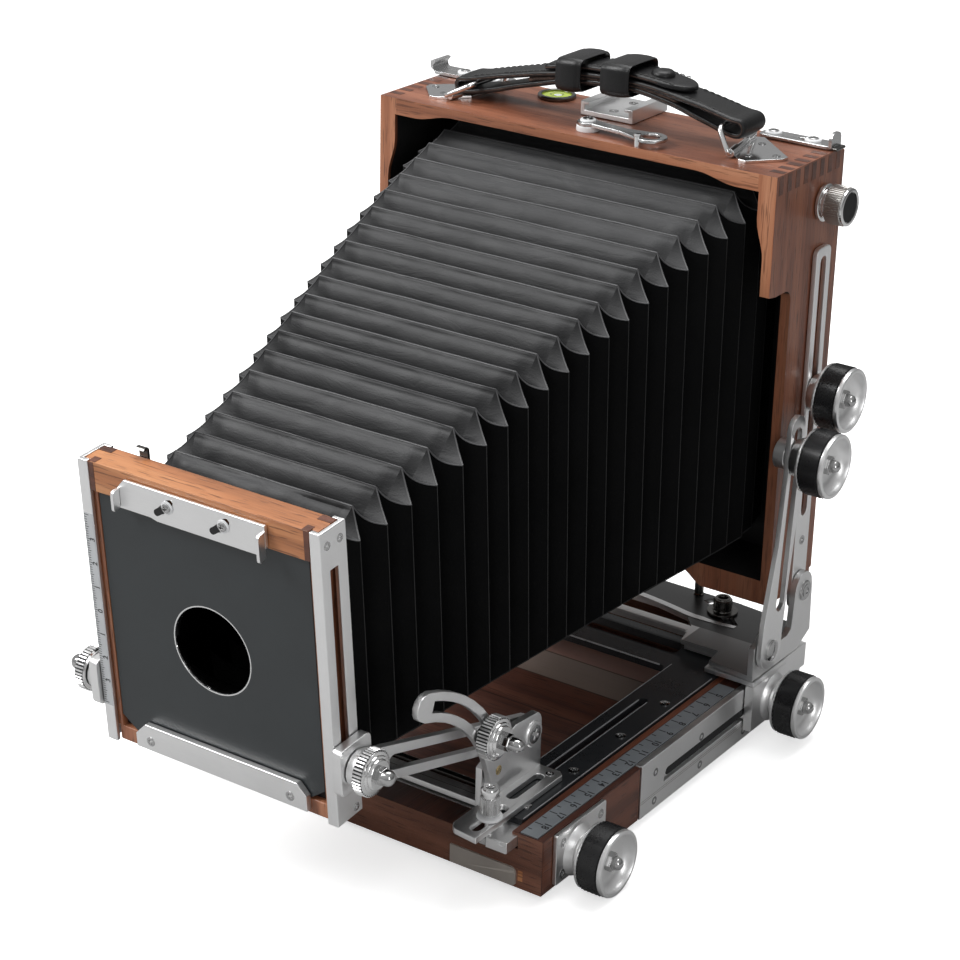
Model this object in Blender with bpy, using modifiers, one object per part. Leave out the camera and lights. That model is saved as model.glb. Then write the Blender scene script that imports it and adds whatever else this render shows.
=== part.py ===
"""View camera: a flat bed, a leaning front standard, pleated bellows and an upright rear box.

Sizes are in millimetres and are built in metres. X runs across the camera, with the right side
at +X. Y runs from the bed's front face (y = 0) to the rear, and the scene's origin lies at the
bed's middle. Z is up from the underside of the bed.
"""
import bpy
import bmesh
import math
import numpy as np
from mathutils import Vector, Matrix

for old_object in list(bpy.data.objects):
    bpy.data.objects.remove(old_object, do_unlink=True)

# ---------------------------------------------------------------- driving dimensions
MM = 0.001
Y_MID = 103.0                       # middle of the bed
GAP = 0.3                           # running gap between neighbouring pieces
OVER = 2.0                          # how far cutters run past a bed face

BED_HALF = 96.5
BED_LENGTH = 206.0
BED_THICK = 23.7

SLIDE_TOP = 25.2
RUNNER_END_Y = 150.0                # rear end of the slide's runners and rack

RACK_PITCH = 2.4
PINION = (22.0, 11.0)               # y, z of the pinion shaft
PINION_TEETH = 16
PINION_R = RACK_PITCH * PINION_TEETH / (2 * math.pi)
SHAFT_HOLE_R = 3.3

FRONT_TILT = 0.09                   # forward lean of the front standard, radians
FRONT_ORIGIN = (0.0, -70.7, 49.1)
CLAMP_WHEEL = (7.0, 24.0)           # y, z in the front standard's own frame

EAR_PIVOT = (36.8, 44.0)            # y, z of the link arm's pivot
REAR_PIVOT = (193.5, 55.0)          # y, z of the rear upright's foot pivot
STRUT_PIVOT = (161.0, 40.5)
UPRIGHT_Y = 192.7                   # centre line of the rear uprights

SIDES = (("right", 1), ("left", -1))

# ---------------------------------------------------------------- collections, materials
PARTS = bpy.data.collections.new("view_camera")
CUTTERS = bpy.data.collections.new("cutters")
bpy.context.scene.collection.children.link(PARTS)
bpy.context.scene.collection.children.link(CUTTERS)

COLOURS = {
    "walnut": (0.27, 0.12, 0.07),
    "walnut_light": (0.45, 0.22, 0.11),
    "walnut_dark": (0.10, 0.045, 0.03),
    "aluminium": (0.62, 0.62, 0.61),
    "steel": (0.66, 0.66, 0.65),
    "chrome": (0.75, 0.75, 0.75),
    "brass": (0.6, 0.45, 0.2),
    "black_plate": (0.03, 0.03, 0.035),
    "board_black": (0.03, 0.034, 0.036),
    "rubber": (0.012, 0.012, 0.013),
    "leather": (0.012, 0.012, 0.012),
    "bellows": (0.02, 0.02, 0.022),
    "glass": (0.75, 0.8, 0.8),
}
METALS = ("aluminium", "steel", "chrome", "brass")
METAL_ROUGHNESS = 0.35
PLAIN_ROUGHNESS = 0.55


def material(slot, piece):
    """Each piece has its own material, named after the piece and the slot."""
    result = bpy.data.materials.new(piece + "_" + slot)
    result.use_nodes = True
    inputs = result.node_tree.nodes.get("Principled BSDF").inputs
    metal = slot in METALS
    inputs["Base Color"].default_value = (*COLOURS[slot], 1.0)
    inputs["Metallic"].default_value = 1.0 if metal else 0.0
    inputs["Roughness"].default_value = METAL_ROUGHNESS if metal else PLAIN_ROUGHNESS
    return result


# ---------------------------------------------------------------- frames, placing
class Frame:
    """Origin in mm and a lean about X, in which pieces are laid out."""

    def __init__(self, origin, tilt=0.0):
        self.origin = Vector(origin)
        self.rotation = Matrix.Rotation(tilt, 3, "X")

    def moved(self, point):
        return self.origin + self.rotation @ Vector(point)

    def scene_point(self, point):
        x, y, z = self.moved(point)
        return Vector((x, y - Y_MID, z)) * MM


BODY = Frame((0, 0, 0))
FRONT = Frame(FRONT_ORIGIN, FRONT_TILT)


def link_helper(obj):
    CUTTERS.objects.link(obj)
    obj.hide_render = True
    obj.display_type = "WIRE"


def make_helper(obj):
    """Move a finished piece to the cutters."""
    PARTS.objects.unlink(obj)
    link_helper(obj)


def place(obj, slot, frame, origin, turn=None):
    """Place an object and give it its material; with no slot it is a cutter."""
    rotation = frame.rotation if turn is None else frame.rotation @ turn
    obj.matrix_world = Matrix.Translation(frame.scene_point(origin)) @ rotation.to_4x4()
    if slot is None:
        link_helper(obj)
    else:
        PARTS.objects.link(obj)
        obj.data.materials.append(material(slot, obj.name))
    return obj


def object_from(work, name):
    mesh = bpy.data.meshes.new(name)
    bmesh.ops.recalc_face_normals(work, faces=work.faces[:])
    work.to_mesh(mesh)
    work.free()
    return bpy.data.objects.new(name, mesh)


# ---------------------------------------------------------------- solids
def box(name, x, y, z, slot=None, frame=BODY):
    """Box between the given x, y and z limits."""
    limits = (x, y, z)
    centre = Vector([(low + high) / 2 for low, high in limits])
    size = Vector([high - low for low, high in limits]) * MM
    work = bmesh.new()
    bmesh.ops.create_cube(work, size=1.0, matrix=Matrix.Diagonal((*size, 1.0)))
    return place(object_from(work, name), slot, frame, centre)


def rod(name, axis, centre, radius, ends, segments, slot=None):
    """Cylinder along x or z between ends; centre holds its two other coordinates in order."""
    start, end = ends
    middle = (start + end) / 2
    if axis == "x":
        origin, turn = (middle, *centre), Matrix.Rotation(math.pi / 2, 4, "Y")
    else:
        origin, turn = (*centre, middle), Matrix.Identity(4)
    work = bmesh.new()
    bmesh.ops.create_cone(work, cap_ends=True, segments=segments, radius1=radius * MM,
                          radius2=radius * MM, depth=(end - start) * MM, matrix=turn)
    return place(object_from(work, name), slot, BODY, origin)


# turns that stand a flat curve square to each axis
PLATE_TURNS = {
    "x": Matrix(((0, 0, 1), (1, 0, 0), (0, 1, 0))),
    "y": Matrix(((1, 0, 0), (0, 0, -1), (0, 1, 0))),
    "z": Matrix.Identity(3),
}


def plate(name, axis, outline, ends, slot="aluminium", holes=(), frame=BODY, origin=None):
    """Flat plate between ends along axis; outline, holes and origin are in the two others."""
    start, end = ends
    middle = (start + end) / 2
    if origin is None:
        origin = [(min(values) + max(values)) / 2 for values in zip(*outline)]
    across, along = origin
    curve = bpy.data.curves.new(name, "CURVE")
    curve.dimensions = "2D"
    curve.fill_mode = "BOTH"
    curve.extrude = (end - start) * MM / 2
    for loop in (outline, *holes):
        spline = curve.splines.new("POLY")
        spline.points.add(len(loop) - 1)
        for point, (first, second) in zip(spline.points, loop):
            point.co = ((first - across) * MM, (second - along) * MM, 0.0, 1.0)
        spline.use_cyclic_u = True
    position = {"x": (middle, across, along), "y": (across, middle, along),
                "z": (across, along, middle)}[axis]
    return place(bpy.data.objects.new(name, curve), slot, frame, position, PLATE_TURNS[axis])


def mesh_plate(*args, **options):
    """A plate turned into a mesh, which can then be cut or joined."""
    flat = plate(*args, **options)
    depsgraph = bpy.context.evaluated_depsgraph_get()
    mesh = bpy.data.meshes.new_from_object(flat.evaluated_get(depsgraph))
    work = bmesh.new()
    work.from_mesh(mesh)
    bmesh.ops.remove_doubles(work, verts=work.verts[:], dist=0.005 * MM)
    work.to_mesh(mesh)
    work.free()
    name, matrix = flat.name, flat.matrix_world.copy()
    bpy.data.objects.remove(flat, do_unlink=True)
    result = bpy.data.objects.new(name, mesh)
    PARTS.objects.link(result)
    result.matrix_world = matrix
    return result


def cut(target, *tools, operation="DIFFERENCE"):
    for tool in tools:
        modifier = target.modifiers.new("cut", "BOOLEAN")
        modifier.operation = operation
        modifier.solver = "EXACT"
        modifier.object = tool


def join(target, other):
    """Weld a piece to the target so that they make one solid."""
    make_helper(other)
    cut(target, other, operation="UNION")


def lathe(name, profile, origin, slot, steps, frame=BODY, turn=None):
    """Profile of (radius, height) spun about Z; it closes on itself if it starts off the axis."""
    points = [(radius * MM, 0.0, height * MM) for radius, height in profile]
    last = len(points) - 1
    edges = [(i, i + 1) for i in range(last)]
    if profile[0][0] > 0:
        edges.append((last, 0))
    mesh = bpy.data.meshes.new(name)
    mesh.from_pydata(points, edges, [])
    obj = place(bpy.data.objects.new(name, mesh), slot, frame, origin, turn)
    screw = obj.modifiers.new("turn", "SCREW")
    screw.steps = steps
    screw.render_steps = steps
    screw.angle = 2 * math.pi
    screw.use_merge_vertices = True
    screw.merge_threshold = 0.01 * MM
    screw.use_normal_calculate = False


def turned(name, profile, centre, base_x, side, slot, steps, frame=BODY):
    """Turned piece about an X axis through centre (y, z).

    The profile is (radius, distance outboard of base_x), outboard end first.
    """
    lathe(name, profile, (base_x * side, *centre), slot, steps, frame,
          Matrix.Rotation(math.pi / 2 * side, 3, "Y"))


def skin(work, ring, following):
    """Triangles between two rings of as many vertices."""
    for i in range(len(ring)):
        j = (i + 1) % len(ring)
        work.faces.new((ring[i], ring[j], following[j]))
        work.faces.new((ring[i], following[j], following[i]))


# ---------------------------------------------------------------- outlines
def polar(centre, radius, degrees):
    angle = math.radians(degrees)
    return (centre[0] + radius * math.cos(angle), centre[1] + radius * math.sin(angle))


def arc(centre, radius, start, end, steps):
    return [polar(centre, radius, start + (end - start) * i / steps) for i in range(steps + 1)]


def circle(centre, radius, steps=16):
    return arc(centre, radius, 0, 360 - 360 / steps, steps - 1)


def slot_loop(start, end, radius, steps=5):
    """Round-ended slot between two centres."""
    angle = math.degrees(math.atan2(end[1] - start[1], end[0] - start[0]))
    return (arc(end, radius, angle - 90, angle + 90, steps)
            + arc(start, radius, angle + 90, angle + 270, steps))


def bar_loop(start, end, start_r, end_r, steps=8):
    """Round-ended bar whose two end radii differ."""
    angle = math.degrees(math.atan2(end[1] - start[1], end[0] - start[0]))
    length = math.hypot(end[0] - start[0], end[1] - start[1])
    taper = math.degrees(math.asin((start_r - end_r) / length))
    return (arc(end, end_r, angle - 90 + taper, angle + 90 - taper, steps)
            + arc(start, start_r, angle + 90 - taper, angle + 270 + taper, steps))


def band(centre, radius, half_width, start, end, steps):
    """Curved band about a centre, from start to end degrees."""
    return (arc(centre, radius + half_width, start, end, steps)
            + arc(centre, radius - half_width, end, start, steps))


def round_rect(across, along, radius, steps=4):
    (left, right), (low, high) = across, along
    return (arc((right - radius, high - radius), radius, 0, 90, steps)
            + arc((left + radius, high - radius), radius, 90, 180, steps)
            + arc((left + radius, low + radius), radius, 180, 270, steps)
            + arc((right - radius, low + radius), radius, 270, 360, steps))


def smooth_step(start, end, steps=5):
    """S-shaped run between two points, flat in the second coordinate at both ends."""
    (x0, y0), (x1, y1) = start, end
    return [(x0 + (x1 - x0) * i / steps,
             y0 + (y1 - y0) * (3 * (i / steps) ** 2 - 2 * (i / steps) ** 3))
            for i in range(steps + 1)]


def lerp(start, end, share):
    return (start[0] + (end[0] - start[0]) * share, start[1] + (end[1] - start[1]) * share)


def to_side(points, side):
    """Right-hand outline carried over to the given side."""
    return [(x * side, other) for x, other in points]


def both_halves(right_half):
    return right_half + [(-x, other) for x, other in reversed(right_half)]


def span(side, inner, outer):
    """X limits, low first, of a stretch given on the right-hand side."""
    return (inner, outer) if side > 0 else (-outer, -inner)


# ================================================================ BED
BED_TOP_CLEAR = 30.0                # top of the cutters that open the bed upwards
WELL_HALF = 60.0                    # open well in the middle of the bed
WELL_Y = (14.0, 192.0)
RECESS_HALF = 82.7                  # recess for the slide frame
RECESS_FLOOR = 16.9
RECESS_Y = (-OVER, 199.5)
GROOVE_OUTER_X = 85.4
RULER_X = (85.7, 93.4)              # shallow channel along each side of the bed's top
RAIL_X = (94.0, 97.1)
RAIL_Y = (70.0, BED_LENGTH)
TRIPOD_HALF = (28, 30)              # half width and half length of the plate
TRIPOD_HOLES = ((14, 4.76), (-14, 3.18))    # y from the middle, radius


def build_bed():
    bed = box("bed_frame", (-BED_HALF, BED_HALF), (0, BED_LENGTH), (0, BED_THICK),
              "walnut_dark")
    cutters = [
        box("c_well", (-WELL_HALF, WELL_HALF), WELL_Y, (4.9, BED_TOP_CLEAR)),
        box("c_under", (-54, 54), (20, 186), (-OVER, 6)),
        box("c_slide", (-RECESS_HALF, RECESS_HALF), RECESS_Y, (RECESS_FLOOR, BED_TOP_CLEAR)),
    ]
    for label, side in SIDES:
        cutters += [
            box("c_groove_" + label, span(side, 82.0, GROOVE_OUTER_X), RECESS_Y,
                (RECESS_FLOOR, 21.5)),
            box("c_rail_" + label, span(side, RAIL_X[0] - GAP, 99.0),
                (RAIL_Y[0] - GAP, BED_LENGTH + OVER), (-OVER, BED_TOP_CLEAR)),
            box("c_ruler_" + label, span(side, RULER_X[0] - 0.25, RULER_X[1] + 0.4),
                (0.8, 150.3), (23.1, 26)),
            rod("c_shaft_" + label, "x", PINION, SHAFT_HOLE_R, span(side, 58, 99), 16),
        ]
    cutters.append(rod("c_pinion", "x", PINION, 7.6, (59.0, 78.6), 20))
    cut(bed, *cutters)


def build_bed_floor():
    half = WELL_HALF - GAP
    box("bed_floor", (-half, half), (WELL_Y[0] + GAP, WELL_Y[1] - GAP), (5.2, 7.7), "walnut")


def build_tripod_plate():
    half_x, half_y = TRIPOD_HALF
    plate("tripod_plate", "z",
          round_rect((-half_x, half_x), (Y_MID - half_y, Y_MID + half_y), 5), (0.0, 4.9),
          holes=[circle((0, Y_MID + y), radius) for y, radius in TRIPOD_HOLES])


def build_guide_rail(label, side):
    rail = box("guide_rail_" + label, span(side, *RAIL_X), RAIL_Y, (0, 24.2), "aluminium")
    cut(rail, box("c_railslot_" + label, span(side, 95.1, 99), (88, BED_LENGTH + OVER),
                  (9.4, 13.0)))


def build_knob_flange(label, side):
    plate("knob_flange_" + label, "x", round_rect((6.8, 41.5), (2.0, 23.6), 0.8, 2),
          span(side, 96.8, 98.6), holes=[circle(PINION, SHAFT_HOLE_R)])


# ================================================================ FRONT SLIDE, RACK, PINION
RUNNER_OUTER_X = 85.1
RACK_TEETH = 44
RACK_FIRST_Y = PINION[0] - 11.5 * RACK_PITCH
RACK_ROOT_Z, RACK_TIP_Z, RACK_TOP_Z = 18.55, 17.45, 21.35
TOOTH_ROOT_HALF = 0.62
SLIDE_OUTLINE = (                   # x, y; a plate with a wide bay open to the front
    [(-82.3, 7), (-62, 7)] + arc((-58, 144), 4, 180, 90, 4) + arc((58, 144), 4, 90, 0, 4)
    + [(62, 7), (82.3, 7), (82.3, 176), (-82.3, 176)])


def build_slide():
    slots = [slot_loop((x, 46), (x, 116), 1.9) for x in (69.5, -69.5)]
    slide = mesh_plate("slide_frame", "z", SLIDE_OUTLINE, (21.7, SLIDE_TOP), "black_plate",
                       holes=[*slots, round_rect((-58, 58), (160, 170), 3, 3)])
    for label, side in SIDES:
        # the right-hand runner is narrower, which leaves room for the rack
        inner = 75.9 if side > 0 else 71.5
        section = [(inner, 18.2), (RUNNER_OUTER_X, 18.2), (RUNNER_OUTER_X, 21.2),
                   (82.2, 21.2), (82.2, 22.6), (inner, 22.6)]
        join(slide, mesh_plate("slide_runner_" + label, "y", to_side(section, side),
                               (-7.2, RUNNER_END_Y), "black_plate"))


def build_rack():
    outline = [(RACK_FIRST_Y - 1.6, RACK_TOP_Z), (RACK_FIRST_Y - 1.6, RACK_ROOT_Z)]
    tooth = ((-TOOTH_ROOT_HALF, RACK_ROOT_Z), (-0.26, RACK_TIP_Z), (0.26, RACK_TIP_Z),
             (TOOTH_ROOT_HALF, RACK_ROOT_Z))
    for i in range(RACK_TEETH):
        outline += [(RACK_FIRST_Y + i * RACK_PITCH + y, z) for y, z in tooth]
    outline += [(RUNNER_END_Y, RACK_ROOT_Z), (RUNNER_END_Y, RACK_TOP_Z)]
    plate("focus_rack", "x", outline, (71.5, 75.5), "steel", origin=(40.0, 19.5))


def build_pinion():
    tip_r, root_r = PINION_R + 0.42, PINION_R - 0.75
    tooth = ((root_r, -TOOTH_ROOT_HALF), (tip_r, -0.27), (tip_r, 0.27),
             (root_r, TOOTH_ROOT_HALF))
    outline = []
    for i in range(PINION_TEETH):
        middle = 2 * math.pi * i / PINION_TEETH + math.pi / 2
        for radius, offset in tooth:
            angle = middle + offset / radius
            outline.append((PINION[0] + radius * math.cos(angle),
                            PINION[1] + radius * math.sin(angle)))
    plate("focus_pinion", "x", outline, (70.9, 76.4), "brass",
          holes=[circle(PINION, 3.15, 12)], origin=PINION)


# ================================================================ KNOBS
GRIP_R, CORE_R = 13.6, 11.4
GRIP_BACK, GRIP_DEEP = 2.3, 12.9    # the grip's two ends, measured back from the knob's face
KNOB_STEPS = 20


def big_knob(name, centre, hub_x, face_x, side, bolt, rim=None):
    """Dished knob from hub_x to face_x; bolt lists (radius, x) stations going inboard.

    rim is the (radius, distance back from the face) of the rim's two edges.
    """
    length = face_x - hub_x
    if rim is None:
        rim = [(GRIP_R, GRIP_BACK), (GRIP_R, GRIP_DEEP)]
    profile = [(0, length + 0.6), (2.2, length + 0.1), (3.0, length - 1.2),
               (3.2, length - 4.6), (9.6, length - 4.6), (11.6, length - 0.6),
               (12.4, length), (13.3, length - 0.6), (13.3, length - 2.0)]
    profile += [(radius, length - back) for radius, back in rim]
    profile += [(12.6, length - 13.2), (12.6, length - 14.2), (8.2, length - 14.8),
                (7.6, 0.0), (bolt[0][0], 0.0)]
    profile += [(radius, x - hub_x) for radius, x in bolt]
    profile.append((0, bolt[-1][1] - hub_x))
    turned(name, profile, centre, hub_x, side, "aluminium", KNOB_STEPS)


def gripped_knob(name, centre, hub_x, face_x, side, bolt):
    """Big knob with a groove in its rim that holds a rubber ring."""
    big_knob(name + "_core", centre, hub_x, face_x, side, bolt,
             rim=[(CORE_R, 2.0), (CORE_R, 13.2)])
    length = face_x - hub_x
    outer, inner = length - GRIP_BACK, length - GRIP_DEEP
    ring = [(GRIP_R, outer), (GRIP_R, inner), (CORE_R + GAP, inner), (CORE_R + GAP, outer)]
    turned(name + "_grip", ring, centre, hub_x, side, "rubber", KNOB_STEPS)


def small_wheel(name, centre, base_x, side, radius, width, bolt_end_x, length, frame=BODY):
    """Chrome wheel with a stub outboard and a bolt that reaches inboard to bolt_end_x."""
    bolt_r, bolt_end = 1.9, bolt_end_x - base_x
    profile = [(0, length), (1.4, length - 0.5), (2.6, length - 2.2), (2.9, length - 3.4),
               (2.9, width + 2.0), (radius * 0.62, width + 2.0), (radius * 0.66, width + 1.0),
               (radius * 0.82, width + 0.9), (radius * 0.85, width), (radius, width - 0.3),
               (radius, 0.9), (radius * 0.8, 0.0), (bolt_r, 0.0), (bolt_r, bolt_end),
               (0, bolt_end)]
    turned(name, profile, centre, base_x, side, "chrome", 18, frame)


def build_front_knob(label, side):
    # the right-hand core carries the cross shaft that the pinion sits on
    bolt_end = -79.7 if side > 0 else 80.0
    gripped_knob("front_knob_" + label, PINION, 98.9, 117.0, side, [(2.9, bolt_end)])


# ================================================================ FRONT CARRIAGE
FLANGE_Z = (SLIDE_TOP + GAP, 28.0)
EAR_X = (64.0, 67.0)
FLANGE_INNER_X = EAR_X[0] + 1.2
FLANGE_CORNER_R = 5
THUMBSCREW = (74.3, -3.0)           # x, y
THUMB_SLOT_HALF = 9.0
FLANGE_OUTLINE = (                  # x, y
    [(FLANGE_INNER_X, 42.2), (FLANGE_INNER_X, -7.0)]
    + arc((FLANGE_INNER_X + FLANGE_CORNER_R, -12.5), FLANGE_CORNER_R, 180, 250, 4)
    + [(78.8, -18.5), (78.8, 40.2), (76.8, 42.2)])
EAR_FOOT_Z = FLANGE_Z[0] + 0.6
EAR_OUTLINE = (                     # y, z
    [(2.0, EAR_FOOT_Z), (42.7, EAR_FOOT_Z), (42.7, 47.5)] + arc((37.7, 47.5), 5, 0, 70, 4)
    + [(24.0, 53.2), (15.0, 49.5), (2.0, 44.0)])


def build_carriage_bracket(label, side):
    x, y = THUMBSCREW
    thumb_slot = slot_loop((x, y - THUMB_SLOT_HALF), (x, y + THUMB_SLOT_HALF), 2.3)
    rear_slot = slot_loop((72.0, 15.5), (72.0, 34.0), 2.2)
    bracket = mesh_plate("carriage_bracket_" + label, "z", to_side(FLANGE_OUTLINE, side),
                         FLANGE_Z, holes=[to_side(thumb_slot, side), to_side(rear_slot, side)])
    join(bracket, mesh_plate("carriage_ear_" + label, "x", EAR_OUTLINE, span(side, *EAR_X),
                             holes=[circle(EAR_PIVOT, 2.2, 12),
                                    circle((15.0, 38.5), 1.6, 10)]))


def build_carriage_crossbar():
    box("carriage_crossbar", (-63.7, 63.7), (4.0, 12.0), (25.6, 28.2), "aluminium")


def build_thumbscrew(label, side):
    centre = (THUMBSCREW[0] * side, THUMBSCREW[1])
    knob = rod("carriage_thumbscrew_" + label, "z", centre, 3.65, (29.4, 41.5), 18, "chrome")
    cut(knob, rod("c_thumbfoot_" + label, "z", centre, 5.0, (28.3, 29.5), 18),
        rod("c_thumbstem_" + label, "z", centre, 1.9, (23.2, 29.0), 14), operation="UNION")


# ================================================================ LINK ARMS, QUADRANTS
WHEEL_AXIS = tuple(FRONT.moved((0, *CLAMP_WHEEL)).yz)       # in the body's y, z
ARM_X = (59.6, 62.6)
QUAD_CENTRE = (-57.3, 23.4)
QUAD_R = 68.0
QUAD_START, QUAD_END = 12.0, 74.0   # degrees


def build_link_arm(label, side):
    slot = slot_loop(lerp(WHEEL_AXIS, EAR_PIVOT, 0.17), lerp(WHEEL_AXIS, EAR_PIVOT, 0.72), 3.1)
    plate("link_arm_" + label, "x", bar_loop(WHEEL_AXIS, EAR_PIVOT, 7.0, 6.2),
          span(side, *ARM_X), origin=EAR_PIVOT,
          holes=[circle(WHEEL_AXIS, 2.3, 12), circle(EAR_PIVOT, 2.2, 12), slot])


def build_quadrant(label, side):
    half_width = 5.8
    end_cap = arc(polar(QUAD_CENTRE, QUAD_R, QUAD_END + 1), 5.4, QUAD_END + 35,
                  QUAD_END + 145, 4)
    outline = (arc(QUAD_CENTRE, QUAD_R + half_width, QUAD_START, QUAD_END, 10) + end_cap
               + arc(QUAD_CENTRE, QUAD_R - half_width, QUAD_END, QUAD_START, 10))
    plate("quadrant_" + label, "x", outline, span(side, 67.8, 70.5), origin=EAR_PIVOT,
          holes=[band(QUAD_CENTRE, QUAD_R, 2.2, 30, 71, 8),
                 circle(polar(QUAD_CENTRE, QUAD_R, 16), 1.7, 10)])
    small_wheel("quadrant_knob_" + label, polar(QUAD_CENTRE, QUAD_R, 34), 71.0, side,
                radius=8.8, width=5.6, bolt_end_x=67.4, length=16.4)


# ================================================================ FRONT STANDARD
# everything here is in the front standard's own frame
FRONT_HALF = 54.9
FRONT_DEPTH = 14.3
FRONT_HEIGHT = 119.3
UPRIGHT_LIP_X = 50.2                # inner edge of the channel's two lips
UPRIGHT_WALL_X = FRONT_HALF - 1.8
FRAME_HALF = 49.9                   # half width of the wooden frame between the uprights
FRAME_Z = (0.6, 107.0)
TOP_RAIL_Z = (107.3, 119.2)

UPRIGHT_SECTION = [                 # x, y
    (FRONT_HALF, 0), (FRONT_HALF, FRONT_DEPTH), (UPRIGHT_LIP_X, FRONT_DEPTH),
    (UPRIGHT_LIP_X, FRONT_DEPTH - 1.6), (UPRIGHT_WALL_X, FRONT_DEPTH - 1.6),
    (UPRIGHT_WALL_X, 1.8), (UPRIGHT_LIP_X, 1.8), (UPRIGHT_LIP_X, 0)]
LENS_BOARD = [                      # x, z
    (-41.5, 7.0), (41.5, 7.0), (48.0, 12.0), (48.0, 106.6), (-48.0, 106.6), (-48.0, 12.0)]
RETAINER = [                        # x, z
    (-39.3, 2.4), (41.6, 2.4), (41.6, 8.8), (37.6, 13.3), (-34.4, 13.3), (-39.3, 8.2)]
BOARD_LOCK = [                      # x, z
    (-35.5, 105.2), (-20.5, 105.2), (-17.5, 104.4), (28.0, 104.4), (32.0, 108.0),
    (32.0, 117.0), (-32.0, 117.0), (-35.5, 113.0)]


def build_standard_bracket(label, side):
    plate("standard_bracket_" + label, "x", round_rect((-1.8, 16.2), (14.8, 34.2), 2.4, 3),
          span(side, 55.3, 59.2), holes=[circle(CLAMP_WHEEL, 2.3, 12)], frame=FRONT,
          origin=CLAMP_WHEEL)
    small_wheel("clamp_wheel_" + label, CLAMP_WHEEL, 63.0, side, radius=9.0, width=4.8,
                bolt_end_x=53.0, length=14.0, frame=FRONT)


def build_front_upright(label, side):
    upright = mesh_plate("front_upright_" + label, "z", to_side(UPRIGHT_SECTION, side),
                         (0.0, FRONT_HEIGHT), frame=FRONT)
    slot_y = (CLAMP_WHEEL[0] - 2.2, CLAMP_WHEEL[0] + 2.2)
    cut(upright, box("c_upslot_" + label, span(side, 50, 58), slot_y, (19.0, 103.5),
                     frame=FRONT))


def build_front_top_rail():
    rail = box("front_top_rail", (-FRAME_HALF, FRAME_HALF), (0.4, 13.4), TOP_RAIL_Z,
               "walnut_light", FRONT)
    cut(rail, box("c_toprail_back", (-46.0, 46.0), (9.0, 20.0), (100.0, 112.5), frame=FRONT))
    join(rail, box("top_rail_ends", (-52.8, 52.8), (2.1, 12.4), TOP_RAIL_Z, "aluminium",
                   FRONT))


def u_outline(inner_half, floor_z):
    """U-shaped frame open at the top, in x, z."""
    low, high = FRAME_Z
    return [(-FRAME_HALF, low), (FRAME_HALF, low), (FRAME_HALF, high), (inner_half, high),
            (inner_half, floor_z), (-inner_half, floor_z), (-inner_half, high),
            (-FRAME_HALF, high)]


def build_front_lower_frame():
    lower = mesh_plate("front_lower_frame", "y", u_outline(45.6, 9.0),
                       (4.9, FRONT_DEPTH - 2.0), "walnut", frame=FRONT)
    join(lower, mesh_plate("front_frame_lip", "y", u_outline(48.3, 6.7), (1.9, 5.4), "walnut",
                           frame=FRONT))


def build_lens_board():
    plate("lens_board", "y", LENS_BOARD, (2.1, 4.5), "board_black", frame=FRONT,
          holes=[circle((0, 55.0), 17.4, 32)])
    plate("bottom_retainer", "y", RETAINER, (-0.9, 1.7), frame=FRONT)
    plate("board_lock", "y", BOARD_LOCK, (-1.4, 0.0), frame=FRONT,
          holes=[slot_loop((x, 109.6), (x + 4.2, 113.6), 1.4, 3) for x in (-15.0, 10.6)])


# ================================================================ BELLOWS
# y of each ridge along the top
RIDGE_Y = [-57.5, -45.4, -32.6, -19.5, -6.0, 7.0, 18.6, 29.4, 40.1, 51.1, 62.1,
           73.1, 84.0, 95.0, 106.0, 117.0, 129.4, 141.6, 153.2, 165.4, 177.0, 188.5]
# y, half width and height of the top ridge line
RIDGE_LINE = [
    (-66.3, 39.8, 158.2), (-45.4, 40.8, 161.9), (-31.3, 41.8, 165.5), (-19.5, 43.4, 168.7),
    (-5.8, 45.3, 172.3), (7.8, 47.5, 176.8), (19.3, 49.3, 181.2), (29.4, 50.9, 185.4),
    (40.1, 52.6, 189.6), (117.0, 65.0, 218.2), (129.4, 66.6, 221.8), (142.0, 68.1, 225.4),
    (152.9, 69.3, 228.8), (165.4, 70.2, 231.8), (196.5, 71.5, 236.0)]
LINE_Y, LINE_HALF, LINE_Z = zip(*RIDGE_LINE)
HALF_FOLDS = 2 * len(RIDGE_Y)
FOLD_DEPTH = 8.3
BELLOWS_WALL = 1.0


def fold_stations():
    """y of every section: the front end, then each ridge and the valley behind it."""
    stations = [LINE_Y[0]]
    for ridge, following in zip(RIDGE_Y, RIDGE_Y[1:]):
        stations += [ridge, (ridge + following) / 2]
    return stations + [RIDGE_Y[-1], LINE_Y[-1]]


def bellows_section(k, y, inset):
    """Eight corners of section k; odd sections ridge at top and bottom, even at the sides."""
    share = k / HALF_FOLDS
    fade = min(1.0, 0.35 + 9 * share, 0.35 + 9 * (1 - share))   # shallower folds at the ends
    depth = FOLD_DEPTH * fade
    top_x = np.interp(y, LINE_Y, LINE_HALF)
    top_z = np.interp(y, LINE_Y, LINE_Z)
    side_x = top_x + 1.3 + depth
    side_high = top_z - 8.4
    bottom_z = 57.5 + 10.5 * share
    side_low = bottom_z + 8.5 + 12.0 * (1 - (1 - share) ** 2)
    if k % 2:
        side_x -= depth
        side_high -= 1.4
        side_low += 1.4
    else:
        top_x -= 1.4
        top_z -= depth
        bottom_z += depth
    top_x -= inset * 0.4
    top_z -= inset
    side_x -= inset
    side_high -= inset * 0.4
    side_low += inset * 0.4
    bottom_z += inset
    corners = ((-top_x, top_z), (top_x, top_z), (side_x, side_high), (side_x, side_low),
               (top_x, bottom_z), (-top_x, bottom_z), (-side_x, side_low),
               (-side_x, side_high))
    # sections lean with the front standard and straighten towards the rear
    lean = math.tan(FRONT_TILT) * (1 - share)
    shift = 0.9 * (1 - share)
    return [BODY.scene_point((x, y + lean * (165.0 - z) + shift, z)) for x, z in corners]


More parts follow.
